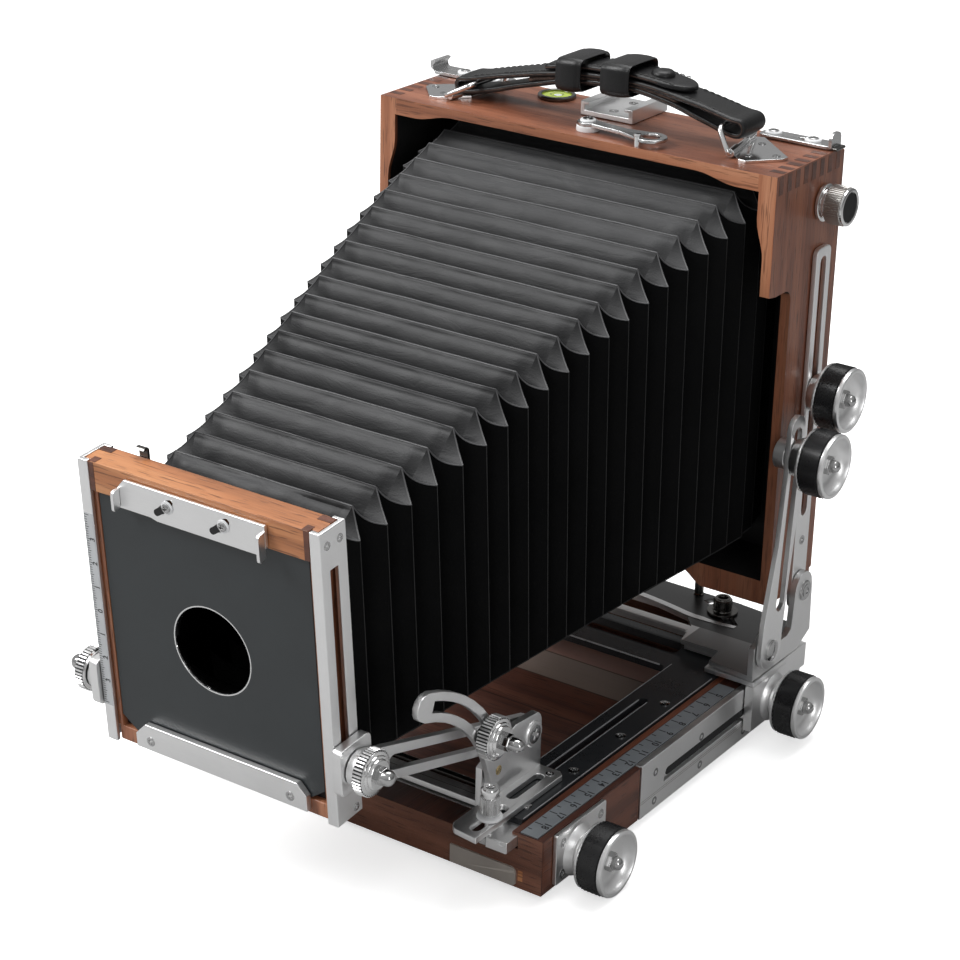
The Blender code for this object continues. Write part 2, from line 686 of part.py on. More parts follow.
def build_bellows():
    work = bmesh.new()
    stations = fold_stations()
    outer, inner = (
        [[work.verts.new(point) for point in bellows_section(k, y, inset)]
         for k, y in enumerate(stations)]
        for inset in (0.0, BELLOWS_WALL))
    for rings in (outer, inner):
        for ring, following in zip(rings, rings[1:]):
            skin(work, ring, following)
    for k in (0, HALF_FOLDS):
        for i in range(8):
            j = (i + 1) % 8
            work.faces.new((outer[k][i], inner[k][i], inner[k][j], outer[k][j]))
    place(object_from(work, "bellows"), "bellows", BODY, (0, Y_MID, 0))


# ================================================================ REAR SLIDER
SLIDER_Y = (151.5, 188.0)
REAR_KNOB = (169.5, 14.5)           # y, z
SLIDER_HALF_SECTION = [             # x, z; right half of a plate with turned-down sides
    (101.3, 28.5), (101.3, 5.0), (97.4, 5.0), (97.4, 10.2), (95.5, 10.2), (95.5, 12.2),
    (97.4, 12.2), (97.4, 25.9)]


def build_rear_slider():
    slider = mesh_plate("rear_slider", "y", both_halves(SLIDER_HALF_SECTION), SLIDER_Y)
    join(slider, box("slider_tail", (-84, 84), (180.0, 205.5), (26.3, 28.2), "aluminium"))


def build_rear_knob(label, side):
    gripped_knob("rear_knob_" + label, REAR_KNOB, 101.7, 119.1, side, [(2.4, 101.65)])


# ================================================================ SWING YOKE
YOKE_Z = (28.8, 31.0)
YOKE_WALL_X = (98.0, 100.6)
SWING_KNOB = (60.0, 197.0)          # x, y
SWING_CENTRE = (0.0, 120.0)         # centre of the curved slot
YOKE_BASE = [                       # x, y
    (-100.6, 151.0), (-78.5, 153.5), (-77.5, 163.5), (-59.0, 163.5), (-57.5, 170.5),
    (57.5, 170.5), (59.0, 163.5), (77.5, 163.5), (78.5, 153.5), (100.6, 151.0),
    (100.6, 190.0), (97.0, 205.5), (62.0, 209.0), (-62.0, 209.0), (-97.0, 205.5),
    (-100.6, 190.0)]
YOKE_WINDOW = (                     # x, y; its rear edge is bowed
    [(-56.0, 177.0), (56.0, 177.0), (50.0, 184.0)]
    + [(x, 190.5 - 6.0 * (x / 50.0) ** 2) for x in (30, 10, -10, -30)] + [(-50.0, 184.0)])
YOKE_WALL = (                       # y, z
    [(151.2, YOKE_Z[0]), (190.0, YOKE_Z[0]), (200.8, 34.0), (199.8, 57.0)]
    + arc((192.3, 56.6), 7.4, 0, 180, 8)
    + [(183.5, 41.0), (180.0, 38.8), (169.5, 38.8)]
    + arc((161.0, 41.5), 6.6, 10, 150, 5) + [(151.2, 44.0)])
SWING_KNOB_PROFILE = [              # radius, height above the knob's seat
    (0, 12.0), (3.4, 12.0), (4.0, 11.2), (4.0, 2.6), (6.6, 2.4), (6.6, 0.0), (1.9, 0.0),
    (1.9, -2.0), (0, -2.0)]


def build_swing_yoke():
    reach_x, reach_y = SWING_KNOB[0] - SWING_CENTRE[0], SWING_KNOB[1] - SWING_CENTRE[1]
    angle = math.degrees(math.atan2(reach_y, reach_x))
    swing_slot = band(SWING_CENTRE, math.hypot(reach_x, reach_y), 2.6, angle - 8, angle + 8, 4)
    yoke = mesh_plate("swing_yoke", "z", YOKE_BASE, YOKE_Z, holes=[YOKE_WINDOW, swing_slot])
    for label, side in SIDES:
        join(yoke, mesh_plate("yoke_wall_" + label, "x", YOKE_WALL, span(side, *YOKE_WALL_X),
                              holes=[circle(REAR_PIVOT, 2.4, 12),
                                     circle(STRUT_PIVOT, 2.0, 12)]))
    lathe("swing_lock_knob", SWING_KNOB_PROFILE, (*SWING_KNOB, YOKE_Z[1] + GAP), "chrome", 18)


# ================================================================ REAR UPRIGHTS, STRUTS
UPPER_KNOB = (UPRIGHT_Y, 145.0)     # y, z
LOWER_KNOB = (170.5, 125.0)
UPRIGHT_HALF = 6.0
UPRIGHT_CORNER_R = 3.0
STRUT_TOP = (171.0, 136.5)
STRUT_SLOT_R = 3.4
# y, z down the front edge, up the rear edge and up the slot's centre line
STRUT_FRONT = [(165.0, 136.5), (164.6, 118.0), (161.4, 88.0), (153.6, 55.0), (152.6, 45.0)]
STRUT_REAR = [(169.6, 45.0), (171.5, 62.0), (175.3, 92.0), (176.8, 118.0), (177.0, 136.5)]
STRUT_SLOT = [(166.2, 60.0), (168.4, 90.0), (170.6, 118.0), (170.9, 134.2)]


def build_rear_upright(label, side):
    corner = UPRIGHT_HALF - UPRIGHT_CORNER_R
    outline = ([(UPRIGHT_Y - UPRIGHT_HALF, 55.0)]
               + arc((UPRIGHT_Y, 52.0), UPRIGHT_HALF, 180, 360, 6)
               + [(UPRIGHT_Y + UPRIGHT_HALF, 203.0)]
               + arc((UPRIGHT_Y + corner, 204.5), UPRIGHT_CORNER_R, 0, 90, 3)
               + arc((UPRIGHT_Y - corner, 204.5), UPRIGHT_CORNER_R, 90, 180, 3))
    plate("rear_upright_" + label, "x", outline, span(side, 95.5, 97.7), origin=REAR_PIVOT,
          holes=[circle(REAR_PIVOT, 2.4, 12),
                 slot_loop((UPRIGHT_Y, 92.0), (UPRIGHT_Y, 201.0), 2.6)])


def build_rear_strut(label, side):
    outline = (STRUT_REAR + arc(STRUT_TOP, 6.0, 0, 180, 6)[1:-1] + STRUT_FRONT
               + arc(STRUT_PIVOT, 8.6, 160, 380, 8)[1:-1])
    slot = ([(y + STRUT_SLOT_R, z) for y, z in STRUT_SLOT]
            + arc(STRUT_SLOT[-1], STRUT_SLOT_R, 30, 150, 3)
            + [(y - STRUT_SLOT_R, z) for y, z in reversed(STRUT_SLOT)]
            + arc(STRUT_SLOT[0], STRUT_SLOT_R, 210, 330, 3))
    plate("rear_strut_" + label, "x", outline, span(side, 101.0, 103.3), origin=STRUT_PIVOT,
          holes=[slot, circle(STRUT_PIVOT, 2.0, 12)])


def build_strut_knobs(label, side):
    big_knob("upper_knob_" + label, UPPER_KNOB, 98.0, 115.4, side, [(2.0, 95.5)])
    # the lower bolt ends in a disc inboard of the strut
    big_knob("lower_knob_" + label, LOWER_KNOB, 103.7, 121.6, side,
             [(1.8, 100.6), (6.4, 100.6), (6.4, 95.6)])


# ================================================================ REAR BOX, BACK
BOX_HALF = 95.15
BOX_Y = (152.65, 207.0)
BOX_Z = (54.4, 245.1)
BACK_Y = (207.4, 212.3)
WINDOW_HALF = 66.0                  # film opening and glass seat
WINDOW_Z = (84.0, 216.0)
BOX_ROOM_HALF = (                   # x, z; right half of the inside
    smooth_step((59.0, 241.2), (77.0, 238.0)) + [(87.4, 238.0)]
    + [(x, z) for z, x in smooth_step((227.0, 87.4), (211.0, 90.8))] + [(90.8, 65.0)])
BOX_FLANK = (                       # y, z; cut from the front of both side walls
    [(149.0, 196.5), (158.0, 195.0)] + arc((166.0, 190.0), 5.0, 90, 0, 4)
    + [(171.0, 40.0), (149.0, 40.0)])
BOX_LOW = (                         # x, z; cut from the bottom edge
    [(-66.0, 50.0)] + smooth_step((-64.0, 54.0), (-52.0, 60.5))
    + smooth_step((52.0, 60.5), (64.0, 54.0)) + [(66.0, 50.0)])


def build_rear_box():
    rear_box = box("rear_box", (-BOX_HALF, BOX_HALF), BOX_Y, BOX_Z, "walnut")
    tools = [
        mesh_plate("c_box_in", "y", both_halves(BOX_ROOM_HALF), (149.0, 203.5)),
        mesh_plate("c_box_flank", "x", BOX_FLANK, (-99.0, 99.0)),
        mesh_plate("c_box_low", "y", BOX_LOW, (149.0, 210.0)),
    ]
    for tool in tools:
        make_helper(tool)
    cut(rear_box, *tools,
        box("c_box_film", (-WINDOW_HALF, WINDOW_HALF), (200, 210), WINDOW_Z))


def build_back():
    back = box("back_frame", (-93.6, 93.6), BACK_Y, (57.0, 243.0), "walnut")
    cut(back, box("c_back_in", (-63.5, 63.5), (205, 220), (86.5, 213.5)),
        box("c_back_seat", (-WINDOW_HALF, WINDOW_HALF), (209.4, 220), WINDOW_Z))
    box("ground_glass", (-65.5, 65.5), (209.7, 211.7), (84.5, 215.5), "glass")


# ================================================================ FITTINGS ON THE BOX
SHOE = [                            # x, z; a tray with turned-in lips
    (-12.6, 245.4), (12.6, 245.4), (12.6, 251.2), (8.6, 251.2), (8.6, 249.9), (10.6, 249.9),
    (10.6, 247.6), (-10.6, 247.6), (-10.6, 249.9), (-8.6, 249.9), (-8.6, 251.2),
    (-12.6, 251.2)]
HOOK = (2.0, 163.0)                 # x, y of the lever's small end
EYE = (34.0, 159.6)                 # x, y of its large end
SPRING_KNOB_PROFILE = [             # radius, distance outboard
    (0, 12.2), (7.2, 12.2), (8.0, 11.4), (8.0, 3.8), (7.2, 3.4), (6.2, 3.1), (6.2, 2.1),
    (7.7, 1.7), (7.7, 0.0), (0, 0.0)]
STRAP_STEPS = 22
STRAP_HALF_LENGTH = 66.0
STRAP_HALF_WIDTH = 9.0
STRAP_Y = 178.5


def build_box_fittings():
    plate("accessory_shoe", "y", SHOE, (180.0, 208.0), "chrome")
    lever = (arc(HOOK, 4.6, 40, 320, 8) + [(20.0, 158.4)] + arc(EYE, 6.6, 235, 485, 10)
             + [(20.0, 163.6)])
    plate("top_hook_lever", "z", lever, (247.4, 248.9), "steel", origin=HOOK,
          holes=[circle(EYE, 3.8, 14), circle(HOOK, 1.6, 10)])
    turned("spring_knob", SPRING_KNOB_PROFILE, (192.5, 225.8), 95.6, 1, "chrome", 22)
    plate("back_latch", "z", round_rect((61.0, 94.6), (197.6, 206.4), 2.6, 3),
          (245.5, 246.9), "steel",
          holes=[slot_loop((start, 202.0), (end, 202.0), 1.2, 3)
                 for start, end in ((64.6, 67.6), (79.0, 86.0))])


def build_strap():
    """Arched leather band, thicker in the middle and at its two ends."""
    work = bmesh.new()
    front, rear = STRAP_Y - STRAP_HALF_WIDTH, STRAP_Y + STRAP_HALF_WIDTH
    rings = []
    for i in range(STRAP_STEPS + 1):
        share = -1 + 2 * i / STRAP_STEPS
        x = STRAP_HALF_LENGTH * share
        z = 254.2 + 15.0 * (1 - abs(share) ** 2.2)
        half_thick = 2.2 + 2.4 * (1 - share * share) + (1.2 if abs(share) > 0.85 else 0.0)
        low, high = z - half_thick, z + half_thick
        rings.append([work.verts.new(BODY.scene_point((x, *corner))) for corner in
                      ((front, low), (rear, low), (rear, high), (front, high))])
    for ring, following in zip(rings, rings[1:]):
        skin(work, ring, following)
    work.faces.new(rings[0])
    work.faces.new(rings[-1])
    place(object_from(work, "handle_strap"), "leather", BODY, (0, Y_MID, 0))


# ================================================================ ASSEMBLY
CENTRE_PIECES = (
    build_bed, build_bed_floor, build_tripod_plate, build_slide, build_rack, build_pinion,
    build_carriage_crossbar, build_front_top_rail, build_front_lower_frame, build_lens_board,
    build_bellows, build_rear_slider, build_swing_yoke, build_rear_box, build_back,
    build_box_fittings, build_strap)
SIDE_PIECES = (
    build_guide_rail, build_knob_flange, build_front_knob, build_carriage_bracket,
    build_thumbscrew, build_link_arm, build_quadrant, build_standard_bracket,
    build_front_upright, build_rear_knob, build_rear_upright, build_rear_strut,
    build_strut_knobs)

for build in CENTRE_PIECES:
    build()
for build in SIDE_PIECES:
    for side_label, side_sign in SIDES:
        build(side_label, side_sign)

bpy.context.view_layer.update()
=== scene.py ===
"""A wooden view camera with its bellows drawn out, standing on a pale floor.

Lengths in the shapes are millimetres and become metres in world_point. The lens side faces -Y,
"right" is +X and +Z is up; y = 0 is the front edge of the bed. Pieces of the front standard use
a frame of their own that leans forward (front_point). Lengths in materials, lights and the
camera are metres.
"""
import math

import bmesh
import bpy
from mathutils import Matrix, Vector, noise
from mathutils.geometry import tessellate_polygon


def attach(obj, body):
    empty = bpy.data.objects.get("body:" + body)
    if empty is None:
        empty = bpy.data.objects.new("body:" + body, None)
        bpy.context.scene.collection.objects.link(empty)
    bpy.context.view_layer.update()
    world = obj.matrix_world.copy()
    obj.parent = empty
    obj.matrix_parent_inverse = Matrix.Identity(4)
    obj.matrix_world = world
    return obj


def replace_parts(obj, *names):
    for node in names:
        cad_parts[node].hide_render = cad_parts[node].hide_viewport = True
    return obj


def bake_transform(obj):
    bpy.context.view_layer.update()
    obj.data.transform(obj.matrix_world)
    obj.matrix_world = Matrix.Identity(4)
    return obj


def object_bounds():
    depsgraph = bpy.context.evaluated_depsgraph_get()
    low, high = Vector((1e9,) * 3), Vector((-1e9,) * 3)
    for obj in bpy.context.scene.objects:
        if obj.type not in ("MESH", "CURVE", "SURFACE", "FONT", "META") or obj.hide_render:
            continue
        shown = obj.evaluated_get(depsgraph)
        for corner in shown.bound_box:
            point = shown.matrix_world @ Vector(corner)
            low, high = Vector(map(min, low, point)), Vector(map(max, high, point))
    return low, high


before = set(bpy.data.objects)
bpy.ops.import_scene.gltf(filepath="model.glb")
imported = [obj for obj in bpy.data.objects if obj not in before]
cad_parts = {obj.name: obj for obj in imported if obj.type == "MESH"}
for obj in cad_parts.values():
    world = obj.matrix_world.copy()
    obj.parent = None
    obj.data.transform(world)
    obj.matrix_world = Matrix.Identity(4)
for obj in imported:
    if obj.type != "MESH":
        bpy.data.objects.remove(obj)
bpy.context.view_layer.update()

# ---------------------------------------------------------------- frames and driving sizes
BED_MIDDLE_Y = 103.0            # this y lands on the world's origin
TILT = 0.09                     # forward lean of the front standard, radians
FRONT_Y, FRONT_Z = -70.7, 49.1  # origin of the leaning frame
FRONT_SHAFT = (22, 11)          # y, z of the front knobs' axis
REAR_SHAFT = (169.5, 14.5)      # y, z of the rear knobs' axis
EAR_PIVOT = (36.8, 44.0)        # y, z of the pivots on the front carriage
QUADRANT = ((-57.3, 23.4), 68.0)  # centre y, z and radius of the arc of the quadrant knobs
BOX_TOP = 245.0                 # top face of the rear box
SIDES = (("right", 1), ("left", -1))
UP, FORWARD = (0, 0, 1), (0, -1, 0)


def world_point(x, y, z):
    return Vector((x, y - BED_MIDDLE_Y, z)) * 0.001


def front_point(x, y, z):
    """From the leaning frame: y runs back through the standard, z up along it."""
    cosine, sine = math.cos(TILT), math.sin(TILT)
    return world_point(x, FRONT_Y + y * cosine - z * sine, FRONT_Z + y * sine + z * cosine)


def on_circle(centre, radius, degrees):
    turn = math.radians(degrees)
    return centre[0] + radius * math.cos(turn), centre[1] + radius * math.sin(turn)


def arc(centre, radius, start, end, steps):
    return [on_circle(centre, radius, start + (end - start) * i / steps)
            for i in range(steps + 1)]


def basis(axis):
    """Unit axis and two directions square to it."""
    axis = Vector(axis).normalized()
    across = Vector((0, 0, 1)).cross(axis)
    if across.length < 1e-3:
        across = Vector((0, 1, 0)).cross(axis)
    across.normalize()
    return axis, across, axis.cross(across)


def span(side, inner, outer):
    """Low and high x of a range given for the right side."""
    return (inner, outer) if side > 0 else (-outer, -inner)


def mirrored(outline, side):
    return [(x * side, other) for x, other in outline]


def shifted(profile, start):
    return [(radius, start + height) for radius, height in profile]


def clamp(value):
    return max(0.0, min(1.0, value))


def add_bevel(piece, width, angle, harden):
    bevel = piece.modifiers.new("edge", "BEVEL")
    bevel.width = width * 0.001
    bevel.segments = 2
    bevel.limit_method = "ANGLE"
    bevel.angle_limit = math.radians(angle)
    bevel.harden_normals = harden


# ---------------------------------------------------------------- shape collector
BOX_FACES = ((0, 2, 3, 1), (4, 5, 7, 6), (0, 1, 5, 4), (2, 6, 7, 3), (0, 4, 6, 2), (1, 3, 7, 5))
PLATE_AXES = {"x": lambda u, v, depth: (depth, u, v),
              "y": lambda u, v, depth: (u, depth, v),
              "z": lambda u, v, depth: (u, v, depth)}
# radii of the rings of a screw head, as shares of its radius
SCREW_RINGS = (0, 0.12, 0.2, 0.28, 0.34, 0.42, 0.5, 0.56, 0.62, 0.72, 0.84, 0.94, 1.0, 1.0)


class Shape:
    """Collects geometry in millimetres and turns it into one object."""

    def __init__(self, to_world=world_point):
        self.points, self.faces, self.to_world = [], [], to_world

    def point(self, place):
        self.points.append(self.to_world(*place))
        return len(self.points) - 1

    def ring(self, places):
        return [self.point(place) for place in places]

    def wall(self, first, second):
        for i in range(len(first)):
            k = (i + 1) % len(first)
            self.faces.append((first[i], first[k], second[k], second[i]))

    def swept(self, rings, closed):
        """Walls between rings; an open run gets end caps."""
        for first, second in zip(rings, rings[1:] + (rings[:1] if closed else [])):
            self.wall(first, second)
        if not closed:
            self.faces.append(tuple(reversed(rings[0])))
            self.faces.append(tuple(rings[-1]))
        return self

    def turned(self, rings, segments, closed=False):
        """Skin over turned rings; a ring of one point closes to a tip."""
        for first, second in zip(rings, rings[1:] + (rings[:1] if closed else [])):
            for i in range(segments):
                k = (i + 1) % segments
                if len(first) == 1:
                    self.faces.append((first[0], second[i], second[k]))
                elif len(second) == 1:
                    self.faces.append((first[i], second[0], first[k]))
                else:
                    self.faces.append((first[i], second[i], second[k], first[k]))
        return self

    def box(self, x, y, z):
        corners = self.ring((x[i], y[j], z[k]) for k in (0, 1) for j in (0, 1) for i in (0, 1))
        self.faces += [tuple(corners[i] for i in face) for face in BOX_FACES]
        return self

    def plate(self, axis, loops, start, end):
        """Flat plate from outlines; the loops after the first are holes."""
        place = PLATE_AXES[axis]
        low, high = [], []
        for loop in loops:
            low.append(self.ring(place(u, v, start) for u, v in loop))
            high.append(self.ring(place(u, v, end) for u, v in loop))
        all_low, all_high = sum(low, []), sum(high, [])
        for triangle in tessellate_polygon([[Vector((u, v, 0)) for u, v in lp] for lp in loops]):
            self.faces.append(tuple(all_low[i] for i in triangle))
            self.faces.append(tuple(all_high[i] for i in reversed(triangle)))
        for first, second in zip(low, high):
            self.wall(first, second)
        return self

    def lathe(self, centre, axis, profile, segments=48, closed=False, cut=None):
        """Turn (radius, height) pairs about an axis; cut(i, j) is taken off each radius."""
        axis, across, up = basis(axis)
        centre = Vector(centre)
        rings = []
        for j, (radius, height) in enumerate(profile):
            if radius <= 1e-6:
                rings.append([self.point(centre + axis * height)])
                continue
            ring = []
            for i in range(segments):
                turn = 2 * math.pi * i / segments
                reach = radius - cut(i, j) if cut else radius
                way = across * math.cos(turn) + up * math.sin(turn)
                ring.append(self.point(centre + axis * height + way * reach))
            rings.append(ring)
        return self.turned(rings, segments, closed)

    def straight_knurl(self, centre, axis, radius, start, end, teeth, depth, inner):
        """Band of flat-topped teeth, four segments to a tooth."""
        root = radius - depth - 0.25
        profile = [(inner, start + 0.02), (root, start), (radius, start + 0.35),
                   (radius, end - 0.35), (root, end), (inner, end - 0.02)]
        return self.lathe(centre, axis, profile, teeth * 4,
                          cut=lambda i, j: depth if j in (2, 3) and i % 4 > 1 else 0.0)

    def diamond_knurl(self, centre, axis, radius, start, end, teeth, depth, inner, rows):
        """Band of small pyramids, two segments to a tooth."""
        root = radius - depth
        profile = [(inner, start), (root - 0.5, start), (root, start + 0.25)]
        first = len(profile)
        profile += [(radius, start + 0.45 + (end - start - 0.9) * k / rows)
                    for k in range(rows + 1)]
        last = len(profile) - 1
        profile += [(root, end - 0.25), (root - 0.5, end), (inner, end)]
        return self.lathe(
            centre, axis, profile, teeth * 2,
            cut=lambda i, j: depth if first <= j <= last and (i + j) % 2 else 0.0)

    def tube(self, path, radius, segments=10, closed=False):
        path = [Vector(place) for place in path]
        rings, count, across = [], len(path), None
        for i, place in enumerate(path):
            before = path[(i - 1) % count] if (closed or i > 0) else place
            after = path[(i + 1) % count] if (closed or i < count - 1) else place
            along = (after - before).normalized()
            if across is None:
                across = basis(along)[1]
            across = (across - along * across.dot(along)).normalized()
            up = along.cross(across)
            turns = [2 * math.pi * k / segments for k in range(segments)]
            rings.append(self.ring(
                place + (across * math.cos(turn) + up * math.sin(turn)) * radius
                for turn in turns))
        return self.swept(rings, closed)

    def screw(self, centre, axis, radius, height, turn, kind="cross"):
        """Domed head with a cross, slot or hexagonal recess."""
        axis, across, up = basis(axis)
        centre = Vector(centre)
        segments, rings = 40, []
        for j, share in enumerate(SCREW_RINGS):
            ring = []
            for i in range(segments if share > 0 else 1):
                angle = 2 * math.pi * i / segments
                x, y = share * math.cos(angle + turn), share * math.sin(angle + turn)
                if kind == "cross":
                    recess = (clamp((0.17 - min(abs(x), abs(y))) / 0.05)
                              * clamp((0.62 - max(abs(x), abs(y))) / 0.12))
                elif kind == "slot":
                    recess = clamp((0.15 - abs(x)) / 0.05)
                else:
                    flat = share * math.cos((angle % (math.pi / 3)) - math.pi / 6)
                    recess = 1.0 if flat < 0.46 else 0.0
                rise = height * (1 - 0.45 * share ** 3) - recess * radius * 0.42
                if j == len(SCREW_RINGS) - 1:
                    rise = -0.12
                way = across * math.cos(angle) + up * math.sin(angle)
                ring.append(self.point(centre + axis * rise + way * share * radius))
            rings.append(ring)
        return self.turned(rings, segments)

    def build(self, name, material, body=None, slot=None, bevel=0.0, angle=38):
        """Make the object; edges flatter than the angle are shaded smooth."""
        mesh = bpy.data.meshes.new(name)
        mesh.from_pydata([tuple(place) for place in self.points], [], self.faces)
        mesh.validate()
        mesh.update()
        piece = bpy.data.objects.new(name, mesh)
        bpy.context.scene.collection.objects.link(piece)
        mesh.materials.append(materials[material])
        work = bmesh.new()
        work.from_mesh(mesh)
        bmesh.ops.recalc_face_normals(work, faces=work.faces[:])
        for edge in work.edges:
            if len(edge.link_faces) == 2:
                edge.smooth = edge.calc_face_angle(0.0) < math.radians(angle)
        for face in work.faces:
            face.smooth = True
        work.to_mesh(mesh)
        work.free()
        if bevel:
            add_bevel(piece, bevel, angle, harden=True)
        if body:
            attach(piece, body)
        return piece


# ---------------------------------------------------------------- material tools
materials = {}


class Nodes:
    """Short ways to add nodes to a tree."""

    def __init__(self, tree):
        self.tree = tree

    def feed(self, socket, value):
        if isinstance(value, bpy.types.NodeSocket):
            self.tree.links.new(value, socket)
        elif socket.type == "RGBA":
            socket.default_value = (*value, 1.0)
        else:
            socket.default_value = value

    def node(self, kind, inputs=None, **settings):
        made = self.tree.nodes.new("ShaderNode" + kind)
        for key, value in settings.items():
            setattr(made, key, value)
        for key, value in (inputs or {}).items():
            self.feed(made.inputs[key], value)
        return made

    def math(self, operation, *values):
        return self.node("Math", dict(enumerate(values)), operation=operation).outputs[0]

    def times(self, first, second):
        return self.math("MULTIPLY", first, second)

    def parts(self, vector):
        return self.node("SeparateXYZ", {0: vector}).outputs


class Material(Nodes):
    def __init__(self, name):
        self.material = bpy.data.materials.new(name)
        self.material.use_nodes = True
        super().__init__(self.material.node_tree)
        self.principled = self.tree.nodes["Principled BSDF"]
        self.coords = self.node("TexCoord").outputs["Object"]
        materials[name] = self.material

    def scaled(self, scale, offset=(0, 0, 0)):
        if not isinstance(scale, tuple):
            scale = (scale,) * 3
        return self.node("Mapping", {"Vector": self.coords, "Scale": scale,
                                     "Location": offset}).outputs["Vector"]

    def noise(self, scale, detail, roughness=0.5, distortion=0.0, offset=(0, 0, 0)):
        return self.node("TexNoise", {
            "Vector": self.scaled(scale, offset), "Scale": 1.0, "Detail": detail,
            "Roughness": roughness, "Distortion": distortion}).outputs["Fac"]

    def cells(self, scale, feature):
        return self.node("TexVoronoi", {"Vector": self.scaled(scale), "Scale": 1.0},
                         feature=feature).outputs["Distance"]

    def fit(self, value, low, high, start=0.0, end=1.0):
        """Map low..high to start..end, clamped."""
        return self.node("MapRange", {"Value": value, "From Min": low, "From Max": high,
                                      "To Min": start, "To Max": end}).outputs["Result"]

    def vary(self, texture, amount, base):
        """base plus the texture's swing about its middle."""
        return self.math("MULTIPLY_ADD", self.math("SUBTRACT", texture, 0.5), amount, base)

    def mix(self, factor, first, second):
        return self.node("Mix", {0: factor, 6: first, 7: second}, data_type="RGBA").outputs[2]

    def bump(self, height, distance, strength, below=None):
        inputs = {"Height": height, "Distance": distance, "Strength": strength}
        if below is not None:
            inputs["Normal"] = below
        return self.node("Bump", inputs).outputs["Normal"]

    def normal(self):
        return self.parts(self.node("NewGeometry").outputs["Normal"])

    def facing_front(self, normal):
        return self.fit(self.times(normal[1], -1.0), 0.6, 0.7)

    def surface(self, colour, roughness, normal=None, **more):
        more.update(Base_Color=colour, Roughness=roughness)
        if normal is not None:
            more["Normal"] = normal
        for key, value in more.items():
            self.feed(self.principled.inputs[key.replace("_", " ")], value)


def wood_graph(made, axis, tones, seed):
    """Grain along the axis from dark, middle and light tones: colour, roughness, height."""
    dark, middle, light = tones

    def stretched(across, along):
        return tuple(along if name == axis else across for name in "xyz")

    offset = (seed, seed * 0.7, seed * 1.3)
    figure = made.noise(stretched(26, 3.0), detail=3, roughness=0.55, distortion=0.6,
                        offset=offset)
    bands = made.node("TexWave", {
        "Vector": made.scaled(stretched(34, 2.4), offset), "Scale": 1.0, "Distortion": 7.0,
        "Detail": 3.0, "Detail Scale": 1.2}, wave_type="BANDS", bands_direction="DIAGONAL")
    streak = made.noise(stretched(420, 9.0), detail=4, roughness=0.6, offset=offset)
    fibre = made.noise(stretched(2300, 70.0), detail=2, roughness=0.6, offset=offset)
    grain = made.times(figure, 0.42)
    for layer, weight in ((bands.outputs["Fac"], 0.16), (streak, 0.34), (fibre, 0.14)):
        grain = made.math("ADD", grain, made.times(layer, weight))
    ramp = made.node("ValToRGB", {"Fac": grain})
    stops = ramp.color_ramp.elements
    stops.new(0.5)
    for stop, position, tone in zip(stops, (0.34, 0.52, 0.70), tones):
        stop.position = position
        stop.color = (*tone, 1.0)
    pore_noise = made.noise(stretched(1500, 95.0), detail=1, roughness=0.4, offset=offset)
    pores = made.fit(pore_noise, 0.60, 0.68)
    colour = made.mix(made.times(pores, 0.55), ramp.outputs["Color"],
                      tuple(part * 0.35 for part in dark))
    roughness = made.math("MULTIPLY_ADD", fibre, 0.24, 0.26)
    return colour, roughness, made.math("SUBTRACT", made.times(fibre, 0.4), pores)


def wood(name, axis, tones, seed):
    made = Material(name)
    colour, roughness, height = wood_graph(made, axis, tones, seed)
    made.surface(colour, roughness, made.bump(height, distance=0.00009, strength=0.55),
                 Coat_Weight=0.06, Coat_Roughness=0.28)


def metal(name, base, roughness, brush="y", strength=1.0, tint=(1, 1, 1)):
    """Satin metal: fine brushing, a slow mottle and a faint haze."""
    made = Material(name)
    brushing = made.noise(tuple(150.0 if axis == brush else 3800.0 for axis in "xyz"), detail=2)
    mottle = made.noise(55, detail=3)
    haze = made.noise(420, detail=2)
    value = made.vary(brushing, 0.05 * strength, base)
    value = made.vary(mottle, 0.08, value)
    value = made.vary(haze, 0.02, value)
    colour = made.node("CombineColor",
                       {i: made.times(value, share) for i, share in enumerate(tint)})
    sheen = made.vary(mottle, 0.12, made.vary(brushing, 0.08 * strength, roughness))
    made.surface(colour.outputs[0], sheen,
                 made.bump(brushing, distance=0.000006 * strength, strength=0.5), Metallic=1.0)


def coated(name, colour, roughness, scale, depth, variation, metallic=0.0, coat=0.0):
    """Painted, moulded or anodised finish with a fine texture and a slow drift in tone."""
    made = Material(name)
    fine = made.noise(scale, detail=3, roughness=0.6)
    drift = made.noise(60, detail=4, roughness=0.6)
    toned = made.mix(made.fit(drift, 0.3, 0.7),
                     tuple(part * (1 - variation) for part in colour),
                     tuple(part * (1 + variation) for part in colour))
    sheen = made.vary(fine, 0.15, made.vary(drift, 0.2, roughness))
    made.surface(toned, sheen, made.bump(fine, distance=depth, strength=0.7),
                 Metallic=metallic, Coat_Weight=coat)


# ---------------------------------------------------------------- material tables
# wood tones: dark, middle and light colour
WALNUT = ((0.075, 0.024, 0.012), (0.205, 0.068, 0.034), (0.32, 0.125, 0.066))
DARK_WOOD = ((0.022, 0.008, 0.006), (0.062, 0.021, 0.014), (0.12, 0.042, 0.026))
FRONT_EDGE = ((0.19, 0.064, 0.030), (0.38, 0.148, 0.074), (0.51, 0.235, 0.13))
BOX_TOP_WOOD = ((0.065, 0.020, 0.010), (0.19, 0.063, 0.031), (0.30, 0.115, 0.062))
BED_EDGE = ((0.055, 0.018, 0.010), (0.150, 0.056, 0.031), (0.24, 0.098, 0.058))
FLOOR_WOOD = ((0.06, 0.021, 0.013), (0.155, 0.054, 0.034), (0.25, 0.10, 0.066))

